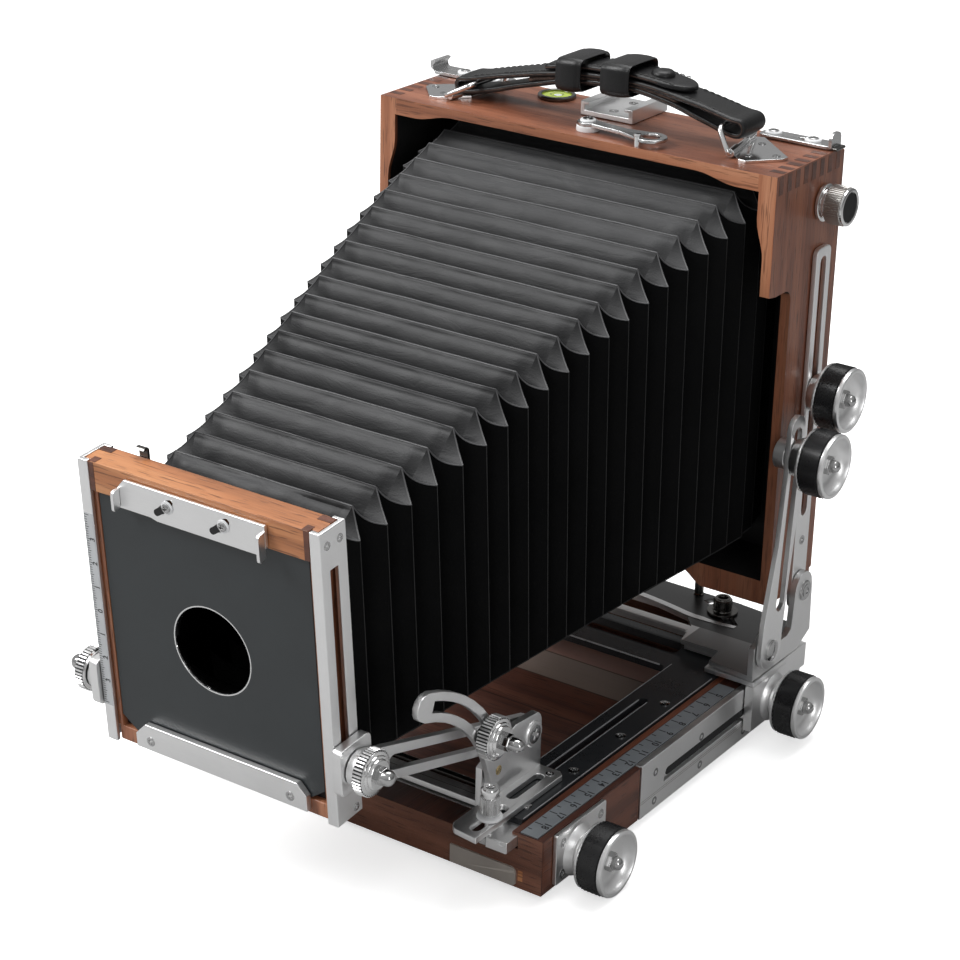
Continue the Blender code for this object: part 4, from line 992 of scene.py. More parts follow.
# darker strip along the crossbar's groove: painted shade
Shape().box((-63.4, 63.4), (7.6, 8.1), (28.15, 28.24)) \
    .build("crossbar_groove", "aluminium_dull", CARRIAGE, "aluminium")
Shape().tube([(-63.5, 15.6, 27.4), (63.5, 15.6, 27.4)], 1.5, 16) \
    .build("carriage_rod", "blackened_steel", CARRIAGE, "steel")

# ---------------------------------------------------------------- front standard
FRONT = "front_standard"
for hand, side in SIDES:
    screw_set("upright_screws_" + hand, FRONT,
              [((54.9 * side, y, z), y) for y, z in ((3.7, 113.5), (10.8, 113.5), (10.8, 3.0))],
              (side, 0, 0), 1.65, 0.25, to_world=front_point)
    Shape(front_point).box(span(side, 46.8, 49.85), (0.6, 4.2), (119.1, 119.34)) \
        .box(span(side, 46.8, 52.75), (9.0, 12.4), (119.1, 119.33)) \
        .box(span(side, 47.6, 49.85), (0.3, 0.6), (107.5, 119.0)) \
        .build("rail_finger_ends_" + hand, "wood_end_grain", FRONT, "walnut")
    Shape(front_point).box(span(side, 49.93, 51.2), (2.2, 12.2), (6.8, 107.2)) \
        .build("channel_wood_" + hand, "wood_frame", FRONT, "walnut")
    # black triangle in each lower corner recess: painted shade
    Shape(front_point).plate("y", [mirrored([(41.0, 6.6), (48.4, 6.6), (48.4, 12.6)], side)],
                             4.55, 4.86) \
        .build("corner_recess_" + hand, "matt_black", FRONT, "board_black")

HOLE_RIM = [(17.3, -2.5), (17.3, -0.4), (17.5, 0.0), (17.85, 0.06), (18.0, 0.02), (18.0, -0.05)]
Shape(front_point).lathe((0, 2.1, 55.0), FORWARD, HOLE_RIM, 96) \
    .build("board_hole_rim", "polished_metal", FRONT, "chrome")
screw_set("bottom_plate_screws", FRONT,
          [((x, -0.92, z), x) for x, z in ((-32.1, 6.6), (34.1, 6.7))], FORWARD, 1.9, 0.3,
          to_world=front_point)

# slotted plate that locks the lens board: x of each slot, height of both
LOCK_X, LOCK_Z = (-12.9, 12.6), 111.7
LOCK_WASHER = [(1.2, 1.42), (2.5, 1.42), (2.6, 1.6), (2.5, 1.95), (1.2, 2.0)]
slots, washers = Shape(front_point), Shape(front_point)
for x in LOCK_X:
    washers.lathe((x + 1.0, 0, LOCK_Z), FORWARD, LOCK_WASHER, 32, closed=True)
    slots.plate("y", [arc((x + 1.2, LOCK_Z + 0.3), 1.35, -50, 130, 6)
                      + arc((x - 4.3, LOCK_Z - 3.5), 1.35, 130, 310, 6)], -1.475, -1.3)
# black sheets over the lock plate's slots: painted shade in the openings
slots.build("lock_plate_slots", "matt_black", FRONT, "aluminium")
screw_set("lock_plate_screws", FRONT, [((x + 1.0, -2.0, LOCK_Z), x) for x in LOCK_X],
          FORWARD, 1.75, 1.1, to_world=front_point)
washers.build("lock_plate_washers", "white_nylon", FRONT)
tabs = Shape(front_point)
for x, low, high in ((-35.5, 104.9, 113.2), (30.7, 103.6, 114.5)):
    outline = [(-1.5, low + 1), (-1.5, high), *arc((-3.2, high - 1.8), 1.8, 90, 180, 4),
               (-5.0, low + 1.4), *arc((-4.0, low + 1.0), 1.0, 180, 270, 3)]
    tabs.plate("x", [outline], x, x + 1.3)
tabs.build("lock_plate_tabs", "aluminium_plate", "board_lock_slide", "aluminium", bevel=0.25)

# millimetre scale for the rise, zero in the middle
RISE_ZERO, SCALE_EDGE = 56.6, -54.7
marks = Shape(front_point)
for i in range(-40, 41):
    z = RISE_ZERO + i
    length = 2.4 if i % 10 == 0 else (1.9 if i % 5 == 0 else 1.4)
    marks.box((SCALE_EDGE, SCALE_EDGE + length), (-0.04, 0.05), (z - 0.14, z + 0.14))
marks.build("rise_scale_marks", "engraved_mark", FRONT, "aluminium")
Shape(front_point).box((-54.75, -50.35), (-0.022, 0.1), (15.6, 97.4)) \
    .build("rise_scale_band", "scale_anodised", FRONT, "aluminium")
turned = (Matrix.Rotation(TILT, 4, "X") @ Matrix.Rotation(math.radians(90), 4, "X")
          @ Matrix.Rotation(math.radians(90), 4, "Z"))
for i in range(-3, 4):
    place = Matrix.Translation(front_point(-51.6, -0.05, RISE_ZERO + 10 * i))
    engraved_number(f"rise_scale_number_{i + 3}", abs(i), size=0.0032, swell=0.00004,
                    matrix=place @ turned, body=FRONT)
RAIL_HOOK = [(13.45, 112.0), (14.6, 112.0), (14.6, 121.7), *arc((12.9, 121.7), 1.7, 0, 150, 6),
             *arc((12.9, 121.7), 0.7, 150, 0, 5), (13.45, 121.5)]
Shape(front_point).plate("x", [RAIL_HOOK], -37.0, -33.0) \
    .build("rail_hook", "blackened_steel", FRONT, "steel", bevel=0.2)

# ---------------------------------------------------------------- rear carriage and yoke
REAR_BOSS = [(10.6, 101.2), (10.2, 102.0), (9.0, 103.4), (8.6, 103.7), (7.9, 103.6), (7.8, 101.2)]
YOKE_NUT = [(0, 100.5), (4.4, 100.5), (4.5, 100.9), (4.1, 101.3), (0, 101.4)]
for hand, side in SIDES:
    outward = (side, 0, 0)
    Shape().lathe((0, *REAR_SHAFT), outward, REAR_BOSS, closed=True) \
        .build("rear_boss_" + hand, "aluminium_satin", "rear_carrier", "aluminium")
    Shape().screw((103.35 * side, 161, 40.5), outward, 4.6, 1.5, turn=0.4, kind="slot") \
        .lathe((0, 193.5, 55), outward, YOKE_NUT, 36) \
        .screw((101.35 * side, 193.5, 55), outward, 2.9, 0.3, turn=0.0, kind="hex") \
        .build("yoke_pins_" + hand, "screw_steel", "rear_yoke", "chrome")
    Shape().screw((97.7 * side, 192.7, 78), outward, 2.0, 0.4, turn=0.4) \
        .build("upright_foot_screw_" + hand, "screw_steel", "rear_uprights", "chrome")

# right half of the slider plate, x and y: outer edge rearward, then inner edge forward
SLIDER_OUTER = [(101.3, 151.5), (101.3, 180.0), (84.0, 180.0), (84.0, 205.5)]
SLIDER_INNER = [(58.0, 192.0), (58.0, 172.0), (60.0, 164.5), (76.5, 164.5), (77.5, 151.5)]
# its side cheek, x and z
SLIDER_CHEEK = [(101.3, 26.3), (101.3, 5.0), (97.4, 5.0), (97.4, 10.2), (95.5, 10.2),
                (95.5, 12.2), (97.4, 12.2), (97.4, 26.3)]
slider = Shape().plate("z", [SLIDER_OUTER + mirrored(reversed(SLIDER_OUTER), -1)
                             + mirrored(reversed(SLIDER_INNER), -1) + SLIDER_INNER], 26.2, 28.5)
for _, side in SIDES:
    slider.plate("y", [mirrored(SLIDER_CHEEK, side)], 151.5, 180.0)
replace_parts(slider.build("rear_slider_plate", "aluminium_satin", "rear_carrier", "aluminium",
                         bevel=0.35), "rear_slider")


def bar_y(x):
    """Middle line of the yoke's curved bar."""
    x = abs(x)
    tail = 1.5 * ((x - 50.0) / 22.0) ** 2 if x > 50 else 0.0
    return 190.5 - 6.0 * (min(x, 50.0) / 50.0) ** 2 + tail


bar_x = [-72 + 4 * i for i in range(37)]
bar_front = [(x, bar_y(x) - 0.2) for x in bar_x]
bar_rear = [(x, bar_y(x) + (3.0 if abs(x) < 58 else 2.2)) for x in reversed(bar_x)]
Shape().plate("z", [bar_front + bar_rear], 30.9, 31.28) \
    .build("yoke_curved_bar", "aluminium_plate", "rear_yoke", "aluminium", bevel=0.1)
Shape().box((-57.2, 57.2), (170.55, 171.9), (30.9, 32.0)) \
    .build("yoke_front_lip", "aluminium_plate", "rear_yoke", "aluminium", bevel=0.3)
YOKE_PEG = [(0, 30.9), (2.3, 30.9), (2.4, 31.4), (2.0, 31.8), (2.0, 42.2), (1.6, 42.9), (0, 43.0)]
Shape().lathe((42.5, 206.6, 0), UP, YOKE_PEG, 28) \
    .build("yoke_peg", "blackened_steel", "rear_yoke", "steel")

# ---------------------------------------------------------------- rear standard
REAR = "rear_standard"
BOX_FRONT, BOX_REAR, FINGERS = 153.0, 206.6, 8
finger = (BOX_REAR - BOX_FRONT) / (2 * FINGERS)
for hand, side in SIDES:
    side_ends, top_ends = Shape(), Shape()
    for i in range(FINGERS):
        start = BOX_FRONT + finger * (2 * i + 0.5)
        side_ends.box(span(side, 95.05, 95.24), (start, start + finger), (237.2, 244.4))
        top_ends.box(span(side, 88.6, 94.5), (start + finger, min(start + 2 * finger, BOX_REAR)),
                     (BOX_TOP, BOX_TOP + 0.19))
    side_ends.build("finger_joint_side_" + hand, "wood_end_grain", REAR, "walnut")
    top_ends.build("finger_joint_top_" + hand, "wood_end_grain_side", REAR, "walnut")

LEVER_SPACER = [(0, 0), (4.7, 0), (4.8, 0.5), (4.7, 2.0), (4.2, 2.3), (0, 2.32)]
washer_screws("lever_screw", "lever_washer", "hook_lever", [(2.0, 163.0, 248.95)], radius=2.2,
              turn=0.3, washer=3.2, spacer=((2.0, 163.0, 245.05), LEVER_SPACER))
LEVER_PIN = [(0, 245.0), (1.45, 245.0), (1.45, 249.4), (1.7, 249.6), (1.7, 250.2), (1.3, 250.6),
             (0, 250.7)]
Shape().lathe((30.5, 154.9, 0), UP, LEVER_PIN, 24) \
    .build("lever_pin", "polished_metal", REAR, "chrome")
screw_set("shoe_screws", REAR, [((0, y, 247.6), 0.8) for y in (186.0, 201.5)], UP, 2.0, 0.3,
          slot="chrome")

HOOK_TOP = 246.9  # upper face of the latch and of the left hook
washer_screws("latch_screws", "latch_washers", REAR,
              [(x, 202.0, HOOK_TOP) for x in (66.1, 84.2)])
LATCH_TAB = [(197.9, 246.0), (206.1, 246.0), (206.1, 249.2),
             *arc((203.5, 249.4), 2.6, 0, 90, 5), *arc((200.5, 249.4), 2.6, 90, 180, 5)]
Shape().plate("x", [LATCH_TAB], 93.0, 94.5) \
    .build("latch_tab", "steel_brushed", "back_latch_body", "steel", bevel=0.3)
Shape().box((94.4, 96.9), (198.2, 206.0), (245.25, 246.5)) \
    .build("latch_lip", "blackened_steel", "back_latch_body", "steel", bevel=0.5)

# fixed hook on the left; its curl above the plate is flattened
HOOK_OUTLINE = [(-62.0, 245.6), (-62.0, HOOK_TOP), (-95.4, HOOK_TOP),
                *arc((-95.6, 250.3), 3.4, 270, 180, 6), (-99.0, 252.6),
                *arc((-97.6, 253.0), 1.4, 180, 20, 6), (-97.7, 250.6), (-97.7, 249.0),
                (-96.4, 245.6)]
HOOK_FLATTEN = 0.62
outline = [(x, z if z < HOOK_TOP else HOOK_TOP + (z - HOOK_TOP) * HOOK_FLATTEN)
           for x, z in HOOK_OUTLINE]
Shape().plate("y", [outline], 194.0, 205.5) \
    .build("top_hook_left", "steel_brushed", REAR, "steel", bevel=0.3)
washer_screws("left_hook_screws", "left_hook_washers", REAR,
              [(x, 200.0, HOOK_TOP) for x in (-66.0, -84.5)])

# strap plates (x, y) and the corners of the wire rings that hold the strap
STRAP_PLATE = [(61.0, 194.0), (62.0, 172.5), (72.5, 161.6), (76.0, 161.2), (86.2, 172.8),
               (86.6, 176.6), (65.5, 196.0)]
RING_CORNERS = {
    "right": ((67.8, 162.0, 247.2), (61.2, 165.4, 256.1), (60.2, 191.6, 256.1),
              (61.4, 195.2, 247.2)),
    "left": ((-68.8, 162.0, 247.2), (-57.4, 164.8, 253.0), (-57.0, 191.8, 253.0),
             (-62.4, 195.2, 247.2))}
RING_BEND = 2.4
for hand, side in SIDES:
    Shape().plate("z", [mirrored(STRAP_PLATE, side)], 245.05, 246.3) \
        .build("strap_plate_" + hand, "polished_metal", REAR, "chrome", bevel=0.25)
    screw_set("strap_plate_screws_" + hand, REAR,
              [((x * side, y, 246.3), x) for x, y in ((69.5, 186.4), (73.6, 168.4),
                                                      (82.4, 174.9))],
              UP, 1.6, 0.35, slot="chrome")
    knuckles = Shape()
    rear_end, front_end = Vector((61.2 * side, 194.0, 247.0)), Vector((67.6 * side, 163.4, 247.0))
    for start, end in ((0.02, 0.30), (0.70, 0.98)):
        knuckles.tube([rear_end.lerp(front_end, start), rear_end.lerp(front_end, end)], 1.75, 18)
    knuckles.build("strap_knuckle_" + hand, "polished_metal", REAR, "chrome", bevel=0.2)
    corners = [Vector(corner) for corner in RING_CORNERS[hand]]
    wire = []
    for i, corner in enumerate(corners):
        before = corner + (corners[i - 1] - corner).normalized() * RING_BEND
        after = corner + (corners[(i + 1) % 4] - corner).normalized() * RING_BEND
        wire += [before * (1 - t) ** 2 + corner * 2 * t * (1 - t) + after * t * t
                 for t in (0, 0.25, 0.5, 0.75, 1.0)]
    Shape().tube(wire, 1.1, 14, closed=True) \
        .build("strap_ring_" + hand, "polished_metal", REAR, "chrome")

# round spirit level
LEVEL = (-35.1, 196.8, 0)
LEVEL_RING = [(6.4, 245.0), (8.0, 245.0), (8.2, 245.4), (8.2, 246.4), (7.8, 246.9), (6.8, 247.0),
              (6.5, 246.7)]
Shape().lathe(LEVEL, UP, LEVEL_RING, closed=True) \
    .build("level_ring", "blackened_steel", REAR, "steel")
Shape().lathe(LEVEL, UP, [(0, 246.55), (3.4, 246.5), (5.4, 246.3), (6.55, 246.0), (6.55, 245.0)],
              40).build("level_vial", "level_liquid", REAR, "glass")
Shape().lathe((-34.0, 196.0, 0), UP, [(0, 246.75), (1.0, 246.7), (1.7, 246.55), (1.8, 246.3)],
              28).build("level_bubble", "ground_glass", REAR, "glass")
Shape().lathe(LEVEL, UP, [(2.5, 246.52), (2.75, 246.56), (2.9, 246.5)], 40) \
    .build("level_circle", "engraved_mark", REAR, "steel")

# ---------------------------------------------------------------- leather strap
# x, z of the upper and the lower outline of the strap
STRAP_TOP = [(-66, 254.0), (-52, 257.5), (-38, 260.9), (-18, 264.9), (0, 266.9), (20, 267.0),
             (31, 265.9), (42, 264.0), (52, 262.0), (62, 260.0), (67, 258.7)]
STRAP_BASE = [(-66, 246.1), (-52, 249.4), (-38, 253.6), (-18, 259.0), (0, 261.6), (19, 261.9),
              (31, 260.2), (42, 257.6), (53, 254.4), (62, 251.6), (67, 250.2)]
STRAP_THICK = 2.5
STRAP_MIDDLE_Y = 178.5
SECTION_POINTS = 20


def interpolate(table, x):
    for (x0, value0), (x1, value1) in zip(table, table[1:]):
        if x <= x1:
            return value0 + (value1 - value0) * ((x - x0) / (x1 - x0))
    return table[-1][1]


def softened(table, stations):
    """(x, z) along a table, averaged over a few millimetres."""
    return [(x, sum(interpolate(table, max(-66, min(67, x + shift)))
                    for shift in (-5, -2.5, 0, 2.5, 5)) / 5) for x in stations]


def strap_loop():
    """Closed middle line of the folded band."""
    stations = [-64 + 4.0 * i for i in range(33)]
    upper = [(x, z - STRAP_THICK / 2) for x, z in softened(STRAP_TOP, stations)]
    lower = [(x, z + STRAP_THICK / 2) for x, z in softened(STRAP_BASE, stations)]

    def fold(end, shift, start, stop):
        high, low = upper[end], lower[end]
        return arc((high[0] + shift, (high[1] + low[1]) / 2), (high[1] - low[1]) / 2,
                   start, stop, 8)

    return upper + fold(-1, 2.2, 80, -80) + lower[::-1] + fold(0, -1.6, 260, 100)


def subdivide_and_ride(piece):
    smooth = piece.modifiers.new("smooth", "SUBSURF")
    smooth.levels = 1
    smooth.render_levels = 1
    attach(piece, REAR)


def strap_layer(name, material, path, start, end, thickness, wobble, crown=0.0, closed=False,
                rounded_end=False):
    """Band from y = start to end swept along x, z points, with a rounded section."""
    shape = Shape()
    rings, count = [], len(path)
    half_width, half_thick = (end - start) / 2, thickness / 2
    section = []
    for i in range(SECTION_POINTS):
        turn = 2 * math.pi * i / SECTION_POINTS
        cosine, sine = math.cos(turn), math.sin(turn)
        section.append((math.copysign(abs(cosine) ** 0.16, cosine) * half_width,
                        math.copysign(abs(sine) ** 0.55, sine) * half_thick))
    middle = (start + end) / 2
    for i, (x, z) in enumerate(path):
        before = path[(i - 1) % count] if (closed or i) else path[i]
        after = path[(i + 1) % count] if (closed or i < count - 1) else path[i]
        along = Vector((after[0] - before[0], after[1] - before[1])).normalized()
        narrow = 1.0
        if rounded_end and i > count / 2:
            left_over = (count - 1 - i) / 4.0
            narrow = math.sqrt(max(0.04, 1 - (1 - min(1.0, left_over)) ** 2))
        ring = []
        for across, out in section:
            lift = (out + crown * (1 - (across / half_width) ** 2)
                    + wobble * noise.noise(Vector((x * 0.09, across * 0.2, z * 0.1))))
            ring.append(shape.point((x - along.y * lift, middle + across * narrow,
                                     z + along.x * lift)))
        rings.append(ring)
    piece = shape.swept(rings, closed).build(name, material, None, "leather", angle=60)
    subdivide_and_ride(piece)
    return piece


loop_path = strap_loop()
band = strap_layer("strap_band", "strap_leather", loop_path, 169.5, 187.5, STRAP_THICK,
                   wobble=0.35, crown=0.35, closed=True)
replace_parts(band, "handle_strap")
strap_layer("strap_band_raw_edge", "strap_raw_edge", loop_path, 169.35, 187.65, 0.8, wobble=0.2,
            closed=True)
stations = [-34 + 3.2 * i for i in range(24)]
inner_path = [(x, (high + low) / 2) for (x, high), (_, low)
              in zip(softened(STRAP_TOP, stations), softened(STRAP_BASE, stations))]
strap_layer("strap_inner_layer", "strap_raw_edge", inner_path, 170.2, 186.8, 1.9, wobble=0.2)
tail = [(x, z + 1.45) for x, z in softened(STRAP_TOP, [-26 + 3.0 * i for i in range(24)])]
tail[-3:] = [(x, z + 0.3) for x, z in tail[-3:]]
strap_layer("strap_tail", "strap_leather", tail, 170.3, 186.7, 2.3, wobble=0.3, crown=0.5,
            rounded_end=True)
strap_layer("strap_tail_raw_edge", "strap_raw_edge", tail[:-1], 170.15, 186.85, 0.7, wobble=0.2,
            rounded_end=True)
STUD = [(0, 271.4), (2.2, 271.3), (3.8, 270.9), (4.7, 270.2), (5.0, 269.4), (4.9, 268.6)]
Shape().lathe((27.0, STRAP_MIDDLE_Y, 0), UP, STUD, 36) \
    .build("strap_stud", "strap_leather", REAR, "leather")

# stitches along the band, left out under the tail, then along the tail
THREAD = 0.2
stitches = Shape()
seam = softened(STRAP_TOP, [-60 + 1.0 * i for i in range(124)])
for y in (171.2, 185.8):
    for i in range(0, 120, 3):
        if not -27 < seam[i][0] < 42:
            stitches.tube([(seam[i + k][0], y, seam[i + k][1] + lift)
                           for k, lift in enumerate((0.12, 0.26, 0.12))], THREAD, 6)
for y in (171.6, 185.4):
    for (x0, z0), (x1, z1) in zip(tail[:-3], tail[1:-2]):
        start, end = Vector((x0, y, z0 + 1.35)), Vector((x1, y, z1 + 1.35))
        stitches.tube([start, start.lerp(end, 0.33) + Vector((0, 0, 0.12)),
                       start.lerp(end, 0.66)], THREAD, 6)
stitches.build("strap_stitching", "waxed_thread", REAR, "leather")


def keeper(name, x0, x1, z0, z1):
    """Leather loop round the strap, puffed out between two pressed lines."""
    corner, steps = 3.2, 10
    outline = []
    for y, z, start in ((187.0, z1 - corner, 0), (170.0, z1 - corner, 90),
                        (170.0, z0 + corner, 180), (187.0, z0 + corner, 270)):
        outline += arc((y, z), corner, start, start + 90, 6)
    middle_z = (z0 + z1) / 2
    rows = []
    for k in range(steps + 1):
        t = k / steps
        from_edge = min(t, 1 - t) * (x1 - x0)
        puff = 0.55 * math.sin(math.pi * t) + (-0.35 if 0.9 < from_edge < 2.0 else 0.0)
        row = []
        for y, z in outline:
            out = Vector((y - STRAP_MIDDLE_Y, z - middle_z)).normalized() * puff
            row.append((x0 + (x1 - x0) * t, y + out.x, z + out.y + 0.72 * (t - 0.5)))
        rows.append(row)
    first, last = [[(x, STRAP_MIDDLE_Y + (y - STRAP_MIDDLE_Y) * 0.87,
                     middle_z + (z - middle_z) * 0.83) for x, y, z in row]
                   for row in (rows[0], rows[-1])]
    shape = Shape()
    rings = [shape.ring(row) for row in [first, *rows, last]]
    subdivide_and_ride(shape.swept(rings, closed=True)
                       .build(name, "strap_leather", None, "leather", angle=70))


keeper("strap_keeper_0", -17.4, -5.0, 257.6, 271.4)
keeper("strap_keeper_1", 4.0, 18.0, 259.2, 272.6)

# ---------------------------------------------------------------- bellows
BELLOWS_START, BELLOWS_END = -66.3, 196.5
RIDGE_Y = [-57.5, -45.4, -32.6, -19.5, -6.0, 7.0, 18.6, 29.4, 40.1, 51.1, 62.1, 73.1, 84.0,
           95.0, 106.0, 117.0, 129.4, 141.6, 153.2, 165.4, 177.0, 188.5]
# y; half width and height of the top ridge
TOP_X = [(-66.3, 39.8), (-45.4, 40.8), (-31.3, 41.8), (-19.5, 43.4), (-5.8, 45.3), (7.8, 47.5),
         (19.3, 49.3), (29.4, 50.9), (40.1, 52.6), (117.0, 65.0), (129.4, 66.6), (142.0, 68.1),
         (152.9, 69.3), (165.4, 70.2), (196.5, 71.5)]
TOP_Z = [(-66.3, 158.2), (-45.4, 161.9), (-31.3, 165.5), (-19.5, 168.7), (-5.8, 172.3),
         (7.8, 176.8), (19.3, 181.2), (29.4, 185.4), (40.1, 189.6), (117.0, 218.2),
         (129.4, 221.8), (142.0, 225.4), (152.9, 228.8), (165.4, 231.8), (196.5, 236.0)]
# y; height of the lower end of the sides
SIDE_BASE = [(-66.3, 65.6), (-20.0, 66.8), (12.0, 70.6), (57.0, 75.2), (106.0, 80.0),
             (148.0, 81.8), (196.5, 82.5)]
FOLD_DEPTH = 8.3
CORNER_DROP = 8.4
HALF_FOLDS = 2 * len(RIDGE_Y)
fold_y = [BELLOWS_START]
for i, y in enumerate(RIDGE_Y):
    fold_y += [y, (y + RIDGE_Y[i + 1]) / 2 if i + 1 < len(RIDGE_Y) else BELLOWS_END]


def fold_corners(k):
    """Right-hand corners of fold line k: top, shoulder, skirt, base.

    Odd lines are ridges on top and below, even ones are ridges at the sides.
    """
    t = k / HALF_FOLDS
    top_x, top_z = interpolate(TOP_X, fold_y[k]), interpolate(TOP_Z, fold_y[k])
    skirt_z = interpolate(SIDE_BASE, fold_y[k])
    depth = FOLD_DEPTH * min(1.0, 0.35 + 9 * t, 0.35 + 9 * (1 - t))
    base_z, side_x, shoulder_z = skirt_z - CORNER_DROP, top_x + 1.3 + depth, top_z - CORNER_DROP
    if k % 2:
        places = ((top_x, top_z), (side_x - depth, shoulder_z - 1.4),
                  (side_x - depth, skirt_z + 1.4), (top_x, base_z))
    else:
        places = ((top_x - 1.4, top_z - depth), (side_x, shoulder_z), (side_x, skirt_z),
                  (top_x - 1.4, base_z + 0.55 * depth))
    return [Vector((x, fold_y[k] + math.tan(TILT) * (1 - t) * (165.0 - z) + 0.6 * (1 - t), z))
            for x, z in places]


fold_lines = [fold_corners(k) for k in range(HALF_FOLDS + 1)]


def flip(place):
    return Vector((-place.x, place.y, place.z))


def sag(place, seed, amount):
    near = place * 0.045
    slow = noise.noise(Vector((near.x, near.y * 1.6, near.z)) + Vector((seed, 0, 0)))
    return amount * (slow + 0.5 * noise.noise(near * 2.7 + Vector((0, seed, 0))))


def quad_patch(shape, ridge_start, ridge_end, valley_end, valley_start, columns, steps, bulge,
               lip, sagging, seed):
    """Panel from its ridge to its valley, with a pressed line beside ridge and ends."""
    ridge, drop = ridge_end - ridge_start, valley_start - ridge_start
    normal = ridge.cross(drop).normalized()
    rows = []
    for v in steps:
        row = []
        for i in range(columns + 1):
            u = i / columns
            place = ((ridge_start * (1 - u) + ridge_end * u) * (1 - v)
                     + (valley_start * (1 - u) + valley_end * u) * v)
            edge = min(u, 1 - u) * ridge.length
            lift = bulge * min(1.0, edge / 6.0) * 4 * v * (1 - v)
            lift += (clamp(5 * v) * clamp(5 * (1 - v)) * sag(place, seed, sagging)
                     * min(1.0, edge / 3.0))
            lift -= lip * math.exp(-((v * drop.length - 1.9) / 0.7) ** 2) * min(1.0, edge / 2.0)
            lift -= lip * math.exp(-((edge - 2.6) / 0.7) ** 2) * min(1.0, 3 * v) * (1 - v)
            row.append(shape.point(place + normal * lift))
        rows.append(row)
    for upper, lower in zip(rows, rows[1:]):
        for i in range(columns):
            shape.faces.append((upper[i], upper[i + 1], lower[i + 1], lower[i]))


def corner_patch(shape, start, end, tip, steps=5, bulge=0.0, bow=Vector((0, 0, 0))):
    """Triangular facet; its edge from start to end is bowed by the given vector."""
    normal = (end - start).cross(tip - start).normalized()
    rows = []
    for i in range(steps + 1):
        row = []
        for j in range(i + 1):
            w = 1 - i / steps
            t = j / i if i else 0.0
            place = tip * w + (start * (1 - t) + end * t) * (1 - w)
            row.append(shape.point(place + normal * bulge * 16 * t * (1 - t) * (1 - w) * w
                                   + bow * 4 * t * (1 - t) * (1 - w)))
        rows.append(row)
    for i in range(steps):
        for j in range(i + 1):
            shape.faces.append((rows[i][j], rows[i + 1][j], rows[i + 1][j + 1]))
            if j < i:
                shape.faces.append((rows[i][j], rows[i + 1][j + 1], rows[i][j + 1]))


# rows of a panel from ridge (0) to valley (1)
FINE_ROWS = [0.0, 0.05, 0.1, 0.15, 0.21, 0.28, 0.38, 0.5, 0.64, 0.8, 0.92, 1.0]
COARSE_ROWS = FINE_ROWS[::2] + [1.0]


def bowed(start, end, bow, steps=10):
    return [start.lerp(end, i / steps) + bow * 4 * (i / steps) * (1 - i / steps)
            for i in range(steps + 1)]


def fold_panels(k, cloth, lips, dark):
    """Panels between fold lines k and k + 1, and the lips along their corners."""
    odd, even = fold_lines[k:k + 2] if k % 2 else fold_lines[k + 1:k - 1 if k else None:-1][:2]
    sign = 1.0 if k % 2 else -1.0
    sagging = 0.32 + 0.9 * max(0.0, 0.14 - k / HALF_FOLDS) / 0.14
    quad_patch(cloth, flip(odd[0]), odd[0], even[0], flip(even[0]), 44, FINE_ROWS,
               bulge=sign, lip=0.30 * sign, sagging=sagging, seed=3.1 * k)
    quad_patch(cloth, flip(odd[3]), odd[3], even[3], flip(even[3]), 20, COARSE_ROWS,
               bulge=-0.4 * sign, lip=0.0, sagging=0.3, seed=2.1 * k)
    for side in (1, -1):
        top, shoulder, skirt, base = odd if side > 0 else map(flip, odd)
        top2, shoulder2, skirt2, base2 = even if side > 0 else map(flip, even)
        bow = (shoulder - (top + shoulder2) / 2) * (0.26 if k % 2 else 0.16)
        corner_patch(cloth, top, shoulder2, top2, 8, 0.25 * side * sign, bow)
        corner_patch(cloth, top, shoulder2, shoulder, 8, 0.0, bow)
        quad_patch(cloth, shoulder2, skirt2, skirt, shoulder, 22, COARSE_ROWS,
                   bulge=-0.45 * side * sign, lip=-0.18 * side * sign, sagging=0.25,
                   seed=5.3 * k + side)
        corner_patch(cloth, base, skirt2, base2)
        corner_patch(cloth, base, skirt2, skirt)
        lips.tube(bowed(top, shoulder2, bow), 0.30, 6)
        dark.tube([base, base.lerp(skirt2, 0.5), skirt2], 0.24, 5)


def ridge_lips(k, lips, dark):
    """Lips along fold line k."""
    top, shoulder, skirt, base = fold_lines[k]
    if k % 2:
        line = [flip(top).lerp(top, i / 24) for i in range(25)]
        lips.tube([place + Vector((0, 0, 0.18 * noise.noise(Vector((place.x * 0.06, k * 3.3, 0)))))
                   for place in line], 0.33, 6)
        dark.tube([flip(base), base], 0.3, 5)
    else:
        for high, low in ((shoulder, skirt), (flip(shoulder), flip(skirt))):
            dark.tube([high.lerp(low, i / 12) for i in range(13)], 0.21, 6)


